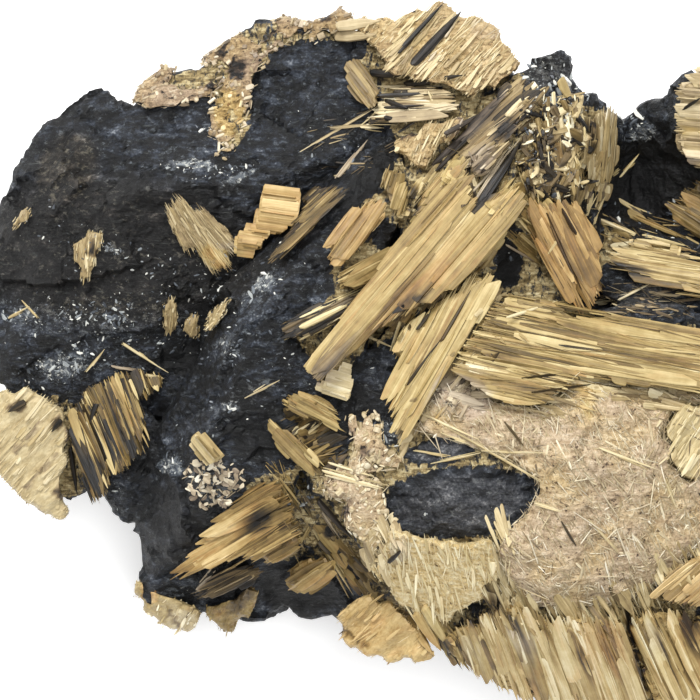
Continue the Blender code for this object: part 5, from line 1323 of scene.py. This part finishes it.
FEELERS, FEWEST_HITS = 7, 3  # places under a line where the ground is felt, and how many have to find it
STEEPEST = 0.7  # how steeply a line may rise
PROPPED_AT = 0.7  # the quantile of the ground's heights that it rests on, so that it lies over the hollows


def laid(ground, start, end, lift):
    """A straight line over start and end that lies on the ground, raised by lift: its start and run."""
    shares, heights = [], []
    for share in np.linspace(0, 1, FEELERS):
        point = start.lerp(end, share)
        hit = ground.ray_cast(Vector((point.x, point.y, SKY)), DOWN)[0]
        if hit:
            shares.append(share)
            heights.append(hit.z)
    if len(shares) < FEWEST_HITS:
        return None
    steepest = STEEPEST * (end - start).length
    rise = float(np.clip(np.polyfit(shares, heights, 1)[0], -steepest, steepest))
    rest = np.array(heights) - rise * np.array(shares)
    low = float(np.quantile(rest, PROPPED_AT)) + lift
    first, last = Vector((start.x, start.y, low)), Vector((end.x, end.y, low + rise))
    return first, last - first


def growth(look, pixels, ground, seed):
    """Laths on the ground inside the outline."""
    chance = np.random.default_rng(seed)
    us, vs = zip(*pixels)
    outline = Outline(pixels)
    box = (max(us) - min(us)) * (max(vs) - min(vs)) * (PIXEL / MM) ** 2
    middle = here((min(us) + max(us)) / 2, (min(vs) + max(vs)) / 2)
    laths = Laths()
    for layer in look["layers"]:
        stray = math.pi if look["felt"] else math.radians(look["stray"] * layer["stray"])
        for _ in range(int(box * layer["amount"] * look["cover"] / look["fine"] * GROWTH_CROWDING)):
            dice = chance.random(DICE)
            place = here(between(min(us), max(us), dice[6]), between(min(vs), max(vs), dice[7]))
            if not outline.reach(place, Vector((1, 0, 0))):
                continue
            wide, thick, tone, kind = measures(layer, look, dice)
            run = look["run"](middle)
            angle = (dice[8] + dice[9] - 1) * stray * TURN_REACH
            run = run * math.cos(angle) + Vector((-run.y, run.x, 0)) * math.sin(angle)
            half = run * (between(*layer["length"], dice[10]) * MM) / 2
            found = laid(ground, place - half, place + half, dice[12] ** 2 * layer["lift"] * MM)
            if found:
                first, run = found
                up = UP + run.cross(UP).normalized() * (dice[13] - 0.5) * GROWTH_ROLL
                laths.add(first, run, up, wide, thick, tone, look["hue"], kind)
    return laths


# Single crystals and the dark ones that look like slots: start and end (u, v), width in pixels, tone, hue. A
# dark one lies where the rutile has a slot or a gap, and paints the shade and the black rock seen there.
SINGLE_CRYSTALS = [
    (377, 86, 442, 86, 3, 0.81, 0.6), (360, 126, 402, 92, 3, 0.81, 0.3),
    (374, 113, 451, 113, 6, 0.85, 0.2), (360, 127, 384, 128, 4, 0.81, 0.3),
    (385, 122, 415, 118, 3, 0.75, 0.2), (428, 92, 437, 112, 4, 0.79, 0.2),
    (597, 447, 658, 470, 4, 0.87, 0.2), (423, 413, 540, 480, 3, 0.83, 0.3),
    (480, 450, 545, 452, 3, 0.81, 0.3), (533, 502, 560, 510, 3, 0.85, 0.3),
    (587, 518, 617, 550, 3, 0.83, 0.3), (663, 478, 675, 508, 3, 0.83, 0.3),
    (560, 520, 575, 545, 3, 0.2, 0.3), (503, 421, 522, 445, 3, 0.25, 0.3),
    (540, 407, 578, 372, 3, 0.87, 0.2), (543, 411, 580, 377, 3, 0.85, 0.2),
    (505, 318, 557, 301, 5, 0.85, 0.2), (600, 218, 643, 237, 4, 0.85, 0.1),
    (635, 215, 690, 240, 4, 0.5, 0.0), (622, 176, 642, 152, 4, 0.79, 0.0),
    (612, 175, 622, 168, 3, 0.79, 0.0), (505, 118, 530, 92, 7, 0.68, 0.4),
    (403, 312, 390, 352, 3, 0.81, 0.2), (365, 335, 392, 347, 3, 0.85, 0.3),
    (300, 318, 365, 288, 4, 0.81, 0.1), (300, 328, 362, 298, 7, 0.75, 0.1),
    (300, 340, 345, 315, 4, 0.79, 0.1), (285, 338, 320, 322, 3, 0.79, 0.1),
    (330, 128, 380, 124, 2.5, 0.7, 0.5), (300, 152, 380, 105, 2.5, 0.75, 0.5),
    (338, 178, 368, 140, 6, 0.62, 0.9), (85, 372, 103, 350, 3, 0.81, 0.2),
    (122, 343, 165, 372, 4, 0.83, 0.2), (245, 398, 280, 380, 3, 0.79, 0.5),
    (413, 450, 450, 455, 3, 0.79, 0.2), (430, 463, 480, 452, 3, 0.79, 0.2),
    (440, 432, 480, 448, 3, 0.81, 0.2), (421, 413, 480, 440, 4, 0.81, 0.2),
    (290, 436, 312, 422, 5, 0.78, 0.2), (305, 435, 325, 420, 5, 0.72, 0.2),
    (280, 478, 300, 505, 4, 0.6, 0.1), (311, 527, 353, 598, 5, 0.72, 0.1),
    (300, 545, 310, 525, 4, 0.6, 0.1), (195, 592, 215, 572, 6, 0.7, 1.0),
    (592, 303, 618, 300, 4, 0.83, 0.4), (618, 300, 652, 283, 4, 0.83, 0.4),
    (445, 38, 460, 12, 5, 0.75, 0.9), (428, 62, 437, 52, 4, 0.72, 0.9), (470, 195, 520, 140, 4, 0.72, 0.8),
    (505, 245, 535, 262, 4, 0.55, 0.9), (322, 470, 384, 488, 6, 0.81, 0.3),
    (328, 462, 372, 476, 4, 0.83, 0.3), (612, 246, 648, 243, 8, 0.81, 0.3),
    (645, 272, 700, 285, 6, 0.6, 0.1), (560, 236, 544, 258, 6, 0.7, 0.1),
    (145, 375, 162, 378, 5, 0.83, 0.3), (110, 366, 140, 372, 4, 0.6, 0.9),
    (20, 300, 36, 318, 3, 0.75, 0.2), (6, 318, 28, 306, 3, 0.79, 0.2), (416, 612, 440, 652, 13, 0.6, -0.3),
    (424, 606, 450, 650, 11, 0.66, 0.0), (408, 618, 432, 656, 10, 0.56, -0.4),
    (336, 26, 380, 22, 12, 0.6, 0.5), (334, 35, 376, 36, 12, 0.55, 0.5),
    (338, 278, 405, 241, 6, 0.62, 0.1), (345, 285, 385, 262, 4, 0.45, 0.0),
    (315, 387, 347, 399, 3, 0.87, 0.4), (376, 548, 388, 537, 5, 0.02, 0.0),
    (388, 562, 402, 549, 5, 0.02, 0.0), (318, 381, 340, 352, 7, 0.5, 0.3), (403, 47, 444, 3, 5, 0.02, 0.5),
    (398, 54, 420, 30, 4, 0.04, 0.5), (412, 66, 462, 12, 10, 0.03, 0.6), (370, 72, 404, 76, 9, 0.02, 0.3),
    (376, 96, 450, 93, 5, 0.05, 0.3), (384, 118, 412, 122, 6, 0.04, 0.3),
    (384, 108, 424, 106, 4, 0.05, 0.3), (404, 84, 462, 77, 8, 0.03, 0.3),
    (385, 100, 408, 110, 7, 0.03, 0.3), (432, 166, 520, 82, 7, 0.13, 0.9),
    (436, 172, 500, 104, 5, 0.1, 0.9), (478, 206, 520, 144, 11, 0.02, 0.3),
    (474, 202, 512, 146, 4, 0.66, 0.9), (444, 135, 486, 112, 6, 0.16, 0.9),
    (678, 112, 700, 99, 4, 0.02, 0.3), (68, 448, 74, 495, 5, 0.06, 0.3),
    (500, 304, 512, 290, 5, 0.03, 0.3), (405, 386, 440, 340, 4, 0.14, 0.0),
    (440, 342, 470, 291, 4, 0.2, 0.0), (416, 330, 440, 300, 4, 0.1, 0.2),
    (520, 378, 572, 372, 3, 0.14, 0.0), (530, 392, 590, 384, 3, 0.16, 0.0),
    (610, 262, 640, 272, 7, 0.05, 0.0), (60, 420, 50, 432, 5, 0.1, 0.2), (24, 402, 6, 412, 7, 0.1, 0.2),
    (576, 118, 588, 134, 7, 0.03, 0.2), (588, 154, 598, 138, 6, 0.04, 0.2),
    (96, 404, 88, 424, 6, 0.03, 0.0), (560, 210, 596, 272, 4, 0.1, -0.4),
    (545, 214, 580, 290, 3, 0.14, -0.4), (318, 500, 352, 540, 7, 0.1, 0.9),
    (322, 512, 340, 540, 4, 0.6, 0.9),
]

# Clusters of pale specks on the plates: middle u and v, half length and width, angle, how many, size in mm.
SPECKS = [
    (55, 370, 30, 14, 10, 70, 0.26), (82, 352, 14, 7, 0, 24, 0.24), (80, 315, 60, 16, 5, 96, 0.21),
    (112, 319, 16, 8, 0, 24, 0.26), (16, 312, 18, 12, 0, 26, 0.24), (120, 340, 90, 30, 0, 96, 0.17),
    (114, 250, 14, 5, -15, 16, 0.16), (182, 166, 22, 5, -5, 30, 0.22), (232, 170, 36, 5, 12, 34, 0.18),
    (264, 283, 9, 6, 30, 14, 0.34), (249, 296, 8, 5, 20, 10, 0.28), (214, 298, 6, 4, 0, 6, 0.2),
    (230, 346, 9, 11, 0, 12, 0.22), (230, 406, 10, 4, 0, 10, 0.24), (170, 466, 12, 12, 0, 22, 0.18),
    (632, 126, 10, 6, 10, 16, 0.3), (625, 139, 6, 4, 0, 8, 0.2), (345, 152, 12, 10, 20, 10, 0.16),
    (390, 430, 13, 12, 0, 26, 0.28), (212, 424, 34, 16, 30, 20, 0.13), (262, 262, 40, 60, 40, 40, 0.15),
    (60, 250, 60, 60, 0, 40, 0.13), (200, 290, 70, 40, 0, 66, 0.16), (236, 330, 50, 60, 40, 50, 0.15),
    (150, 280, 90, 50, 0, 70, 0.14), (545, 80, 26, 20, 40, 40, 0.22), (570, 90, 14, 12, 0, 24, 0.3),
    (300, 120, 80, 40, 0, 22, 0.11), (115, 500, 10, 18, 0, 18, 0.18), (310, 500, 16, 20, 30, 26, 0.24),
    (640, 220, 50, 16, -20, 20, 0.2), (300, 360, 60, 50, 40, 34, 0.12), (460, 505, 70, 26, 0, 30, 0.09),
    (208, 127, 11, 4, 0, 10, 0.28), (676, 212, 12, 8, -50, 8, 0.4), (590, 80, 14, 14, 0, 20, 0.2),
    (500, 250, 16, 24, 0, 20, 0.2), (540, 150, 24, 30, 0, 40, 0.34), (552, 108, 26, 24, 0, 60, 0.36),
    (575, 96, 20, 16, 0, 24, 0.3), (560, 180, 20, 20, 0, 30, 0.3), (628, 116, 12, 6, 10, 10, 0.5),
]

# Ragged ellipses where the rutile is darker or lighter, more or less beige: middle u and v, half length and
# width, angle, tone, hue. The darker ones are partly painted shade, in holes, slots, gaps between laths and
# on the shaded sides of sheaves, and partly darker rutile; a few lighter ones paint the lit side of a fan.
# The hue shifts are the rutile's own colour.
RUTILE_ZONES = [
    (214, 545, 48, 20, 38, 0.2, -0.2), (285, 530, 26, 34, 0, -0.08, 0.1), (148, 592, 10, 16, 0, 0.1, -0.9),
    (130, 430, 26, 40, 0, -0.08, 0.0), (88, 430, 14, 40, 0, 0.12, 0.0), (180, 625, 16, 14, 0, 0.14, 0.3),
    (432, 276, 22, 12, 60, 0.02, -0.7), (229, 112, 16, 24, 0, 0.06, -1.4),
    (222, 262, 26, 12, -30, 0.04, -0.9), (400, 300, 40, 8, 48, -0.1, -0.5),
    (330, 372, 16, 10, 50, -0.12, 0.4), (690, 130, 14, 6, 0, 0.0, -0.6),
    (610, 640, 12, 24, 20, -0.02, -0.5), (436, 340, 62, 4, 58, -0.16, -0.2),
    (476, 122, 50, 7, 48, -0.25, 0.6), (326, 18, 5, 4, 0, -0.6, 0.2), (396, 106, 12, 5, 40, -0.5, 0.0),
    (406, 132, 11, 8, 0, -0.5, 0.2), (463, 124, 24, 6, 40, -0.22, 0.9), (498, 176, 42, 8, 56, -0.6, 0.4),
    (505, 130, 16, 9, 45, -0.4, 0.3), (480, 160, 14, 18, 0, 0.02, 0.5), (490, 28, 22, 12, 0, 0.04, 0.4),
    (414, 200, 6, 18, 0, -0.5, 0.0), (335, 255, 6, 8, 40, -0.1, 0.3), (318, 374, 12, 9, 50, -0.2, 0.5),
    (405, 306, 22, 8, 30, -0.3, 0.0), (498, 355, 16, 12, 20, -0.18, 0.0),
    (560, 345, 32, 5, -12, -0.16, 0.0), (568, 326, 12, 4, -12, -0.2, 0.0),
    (540, 360, 40, 2.5, -6, -0.2, 0.0), (535, 377, 40, 2.5, -6, -0.2, 0.0),
    (545, 391, 40, 2.5, -6, -0.18, 0.0), (477, 370, 12, 7, 0, 0.04, 0.3),
    (460, 396, 34, 22, -20, 0.0, 0.8), (545, 166, 18, 30, 0, -0.16, 0.0), (596, 138, 9, 4, 0, -0.2, 0.0),
    (590, 126, 6, 5, 0, -0.5, 0.0), (592, 146, 8, 6, 50, -0.5, 0.0), (612, 112, 6, 8, 0, 0.06, 0.5),
    (688, 160, 14, 6, 0, -0.1, 0.5), (625, 269, 20, 5, -12, -0.4, 0.2), (656, 267, 13, 4, -10, -0.2, 0.0),
    (562, 258, 32, 7, -60, -0.14, 0.0), (590, 265, 18, 24, -60, -0.04, 0.0),
    (490, 608, 12, 5, 5, -0.65, 0.0), (475, 619, 6, 6, 0, -0.6, 0.0), (628, 620, 4, 15, 5, -0.35, 0.0),
    (635, 646, 3, 16, 18, -0.45, 0.0), (643, 678, 4, 24, 18, -0.4, 0.0), (690, 626, 12, 26, 10, -0.4, 0.0),
    (612, 640, 10, 20, 15, -0.08, -0.1), (445, 646, 6, 12, 20, -0.35, 0.5),
    (258, 520, 20, 11, 35, -0.42, 0.3), (240, 600, 10, 22, -30, -0.16, 0.3),
    (15, 407, 10, 7, 0, -0.4, 0.2), (56, 424, 7, 7, 0, -0.4, 0.2), (91, 410, 5, 11, 10, -0.45, 0.0),
    (105, 440, 5, 20, 20, -0.35, 0.0), (92, 480, 14, 26, 10, -0.12, 0.0),
    (258, 27, 18, 12, -20, -0.8, 0.2), (236, 68, 9, 12, 0, -0.8, 0.2), (185, 76, 15, 9, 0, -0.8, 0.2),
    (212, 84, 6, 5, 0, -0.6, 0.2), (222, 50, 5, 6, 0, -0.6, 0.2), (92, 250, 6, 8, 0, -0.5, 0.0),
    (225, 146, 8, 14, 0, 0.12, 0.0), (205, 262, 8, 8, 0, 0.0, 0.3), (230, 254, 18, 12, 0, 0.02, 0.4),
    (337, 520, 6, 24, -35, -0.45, 0.6), (310, 500, 12, 16, 0, -0.2, 0.6), (365, 451, 6, 6, 0, -0.4, 0.3),
    (350, 430, 4, 5, 0, -0.4, 0.3), (360, 640, 30, 22, 0, 0.0, -0.1), (145, 596, 6, 10, 0, -0.2, 0.0),
    (172, 622, 4, 14, 30, -0.35, 0.0), (200, 586, 14, 4, 40, 0.1, 0.6), (290, 208, 5, 10, -40, -0.3, 0.0),
    (582, 660, 38, 3, -68, -0.42, -0.2), (637, 652, 46, 3, -76, -0.42, -0.2),
    (507, 615, 44, 3, -56, -0.36, 0.2), (548, 640, 30, 2.5, -70, -0.3, 0.0),
    (606, 650, 34, 2.5, -70, -0.3, -0.2), (666, 650, 44, 3, -68, -0.34, 0.0),
    (462, 650, 26, 2.5, -60, -0.3, 0.0), (530, 678, 26, 3, -66, -0.36, -0.2),
    (684, 664, 30, 3, -66, -0.3, 0.0), (520, 640, 20, 12, -50, 0.0, 0.8),
    (470, 650, 18, 10, -50, 0.02, 0.5), (655, 640, 10, 24, 20, 0.02, 0.6),
    (590, 640, 12, 26, 20, 0.04, -0.5), (70, 465, 52, 3, -84, -0.5, 0.2), (60, 490, 12, 8, 60, -0.45, 0.3),
    (30, 512, 32, 3, -32, -0.3, 0.2), (352, 638, 22, 3, -30, -0.35, 0.2), (24, 440, 30, 3, 48, -0.2, 0.3),
    (40, 470, 30, 2.5, 48, -0.2, 0.3), (585, 395, 8, 26, 4, 0.06, -0.6), (400, 548, 14, 14, 0, 0.03, 0.3),
    (385, 580, 8, 10, 0, -0.1, 0.0),
]

SLOT_TONE, STOUT = 0.3, 7  # a single crystal as dark or (in pixels) as wide as these isn't splintered
THICKEST = 0.4  # mm, of a single crystal
RAISED, SPLIT_RAISED = 0.3, 0.18  # mm over the ground, of a whole crystal and of a splintered one
CORE_WIDTH, CORE_THICKNESS = 0.66, 0.4  # of a splintered crystal's middle, as shares of its width
SPLINTER_THICKNESS = 0.3  # and of its splinters
CLUSTER_SPREAD, CLUSTER_REACH = 0.55, 1.3  # of a speck cluster, as shares of its half length and width
FELT_LUMPS = 0.22, 1.1  # the height and the size in mm of a felt bed's lumps
BED_RIDGES = (0.1, 0.16, 1.1), (0.08, 0.3, 2.6)  # mm high, and how often to the mm along and across
RUTILE_ZONE_EDGE = 0.16  # how softly a zone fades, as a share of its size
SPECK_CROWDING = 1.3  # as a multiple of the clusters' own numbers


def single_crystals(ground):
    """The listed crystals. A thin pale one is split into itself and two splinters along it."""
    chance = np.random.default_rng(CRYSTAL_SEED)
    laths = Laths()
    for i, (u0, v0, u1, v1, width, tone, hue) in enumerate(SINGLE_CRYSTALS):
        split = tone > SLOT_TONE and width < STOUT
        found = laid(ground, here(u0, v0), here(u1, v1), (SPLIT_RAISED if split else RAISED) * MM)
        if not found:
            continue
        first, run = found
        wide = width * PIXEL / MM
        up = Vector((0.2 * (-1) ** i, 0.1, 1))
        kind = POINTED if width > 3 else NEEDLE
        if not split:
            laths.add(first, run, up, wide, min(wide, THICKEST), tone, hue, kind)
            continue
        laths.add(first, run, up, CORE_WIDTH * wide, CORE_THICKNESS * wide, tone - 0.05, hue, kind)
        side = run.cross(up).normalized() * wide * MM
        for way in (-1, 1):
            dice = chance.random(5)
            near, far = 0.5 * dice[0] - 0.08, 1.1 - 0.5 * dice[1]
            start = first + run * near + side * way * (0.2 + 0.4 * dice[2])
            bent = run * (far - near) + side * (dice[3] - 0.5) * 1.2
            narrow = (0.24 + 0.3 * dice[4]) * wide
            thick = SPLINTER_THICKNESS * wide
            laths.add(start, bent, up, narrow, thick, tone - 0.2 * dice[3], hue, NEEDLE)
    return laths


def specks(ground):
    chance = np.random.default_rng(SPECK_SEED)
    laths = Laths()
    for u, v, half_length, half_width, angle, count, size in SPECKS:
        along_u, along_v = here(u + 1, v) - here(u, v), here(u, v - 1) - here(u, v)
        c, s = math.cos(math.radians(angle)), math.sin(math.radians(angle))
        for _ in range(round(SPECK_CROWDING * count)):
            off = np.clip(chance.normal(0, CLUSTER_SPREAD, 2), -CLUSTER_REACH, CLUSTER_REACH)
            a, b = off * (half_length, half_width)
            place = here(u, v) + along_u * (a * c - b * s) + along_v * (a * s + b * c)
            dice = chance.random(6)
            long = size * (0.5 + 2.4 * dice[1] ** 4)
            wide = long * (0.3 + 0.5 * dice[2])
            run = Vector((math.cos(dice[0] * math.tau), math.sin(dice[0] * math.tau), 0)) * long * MM
            found = laid(ground, place - run / 2, place + run / 2, 0.03 * MM)
            if found:
                up, tone = Vector((dice[3] - 0.5, dice[4] - 0.5, 1)), 0.2 + 0.8 * dice[5] ** 1.7
                laths.add(*found, up, wide, wide * 0.5, tone, 0.9, SHARD)
    return laths


def bed_of(node, look, outline, finish):
    """The group's own solid, trimmed to its outline and roughened along its laths."""
    piece = evenly_meshed(node + "_bed", merged_copy(node), BED_VOXEL)
    mesh = piece.data
    places, normals = corners_of(mesh), corners_of(mesh, "normal")
    grain, push = np.zeros_like(places), np.zeros(len(places), np.float32)
    for i, place in enumerate(places.tolist()):
        place = Vector(place)
        run = look["run"](place)
        grain[i] = Vector((place.dot(run), place.dot(Vector((-run.y, run.x, 0))), place.z)) / MM
        length, across, height = grain[i].tolist()
        if look["felt"]:
            tall, size = FELT_LUMPS
            push[i] = tall * noise.fractal(place / (size * MM), 0.9, 2.1, 3)
            continue
        for tall, often, close in BED_RIDGES:
            push[i] += tall * noise.noise(Vector((length * often, across * close, height * close)))
    places += normals * (push * MM)[:, None]
    places = np.array([outline.nearest(Vector(place)) for place in places.tolist()], np.float32)
    reshaped(mesh, places, finish)
    set_attribute(mesh, "grain", grain, "FLOAT_VECTOR")
    set_attribute(mesh, "tone", np.full(len(places), look["tone"] * look["bed"], np.float32))
    set_attribute(mesh, "hue", np.full(len(places), look["hue"], np.float32))
    return piece


def shaded(piece):
    """Adds the zones' shifts to the piece's tone and hue, which paints the rutile's own colour and partly
    its light and shade.
    """
    mesh = piece.data
    shifts = in_zones(corners_of(mesh), RUTILE_ZONES, RUTILE_ZONE_EDGE)
    for i, (key, lowest) in enumerate((("tone", 0), ("hue", -1))):
        values = np.empty(len(mesh.vertices), np.float32)
        mesh.attributes[key].data.foreach_get("value", values)
        set_attribute(mesh, key, np.clip(values + shifts[:, i], lowest, 1))
    return piece


def rutile_pieces(plates):
    silky, felted = rutile_material(), felt_material()
    shapes, tree = crystal_shapes(), lath_tree()
    beds = []
    for seed, (node, (look, pixels)) in enumerate(GROUPS.items(), 1):
        outline = Outline(pixels)
        bed = bed_of(node, look, outline, felted if look["matted"] else silky)
        beds.append(bed.data)
        thatch = Thatch(look, outline, merged_copy(node), seed)
        laths = thatch.laths.grown(node + "_laths", tree, shapes, silky)
        for piece in (bed, laths):
            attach(shaded(piece), "root")
            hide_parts(node)
    ground = tree_of(plates.data, *beds)
    extras = [
        shaded(growth(look, pixels, ground, seed).grown(name, tree, shapes, silky))
        for seed, (name, (look, pixels)) in enumerate(GROWTH.items(), FIRST_GROWTH_SEED)
    ]
    extras.append(single_crystals(ground).grown("single_crystals", tree, shapes, silky))
    extras.append(specks(ground).grown("pale_specks", tree, shapes, flake_material()))
    for piece in extras:
        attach(piece, "root")


# ---------------------------------------------------------------- stage

FLOOR_SIDE = 3.0
FLOOR_GREY = (0.93, 0.93, 0.93, 1)
FLOOR_GLOW = 0.42  # keeps the floor pale all over
SKY_LIGHT = 0.46
WHITE = (1, 1, 1, 1)
LIT_POINT = Vector((0, 0, 0.012))


def floor():
    s, a = Shader("floor"), FLOOR_SIDE / 2
    mesh = bpy.data.meshes.new("floor")
    mesh.from_pydata([(-a, -a, 0), (a, -a, 0), (a, a, 0), (-a, a, 0)], [], [(0, 1, 2, 3)])
    mesh.materials.append(s.finish(
        Base_Color=FLOOR_GREY, Roughness=0.9, Emission_Color=WHITE, Emission_Strength=FLOOR_GLOW,
    ))
    object_of("floor", mesh)


def lamp(name, place, size, power):
    light = bpy.data.lights.new(name, "AREA")
    light.shape = "DISK"
    light.size = size
    light.energy = power
    thing = object_of(name, light)
    thing.location = place
    thing.rotation_euler = (LIT_POINT - Vector(place)).to_track_quat("-Z", "Y").to_euler()


def camera():
    """Looks straight down on the display face."""
    data = bpy.data.cameras.new("camera")
    data.sensor_width = SENSOR
    data.lens = SENSOR * CAMERA_DISTANCE / VIEW_WIDTH
    thing = object_of("camera", data)
    thing.location = (0, 0, DISPLAY_HEIGHT + CAMERA_DISTANCE)
    bpy.context.scene.camera = thing


def studio():
    floor()
    camera()
    lamp("key", (-0.10, 0.34, 0.42), 0.24, 3.2)
    lamp("overhead", (0.1, 0.0, 0.75), 0.5, 3.3)
    world = bpy.data.worlds.new("world")
    world.use_nodes = True
    background = world.node_tree.nodes["Background"].inputs
    background["Color"].default_value = WHITE
    background["Strength"].default_value = SKY_LIGHT
    bpy.context.scene.world = world
    bpy.context.scene.view_settings.view_transform = "Standard"


def main():
    noise.seed_set(NOISE_SEED)
    plates = hematite_plates()
    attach(plates, "root")
    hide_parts("hematite")
    rutile_pieces(plates)
    studio()


main()
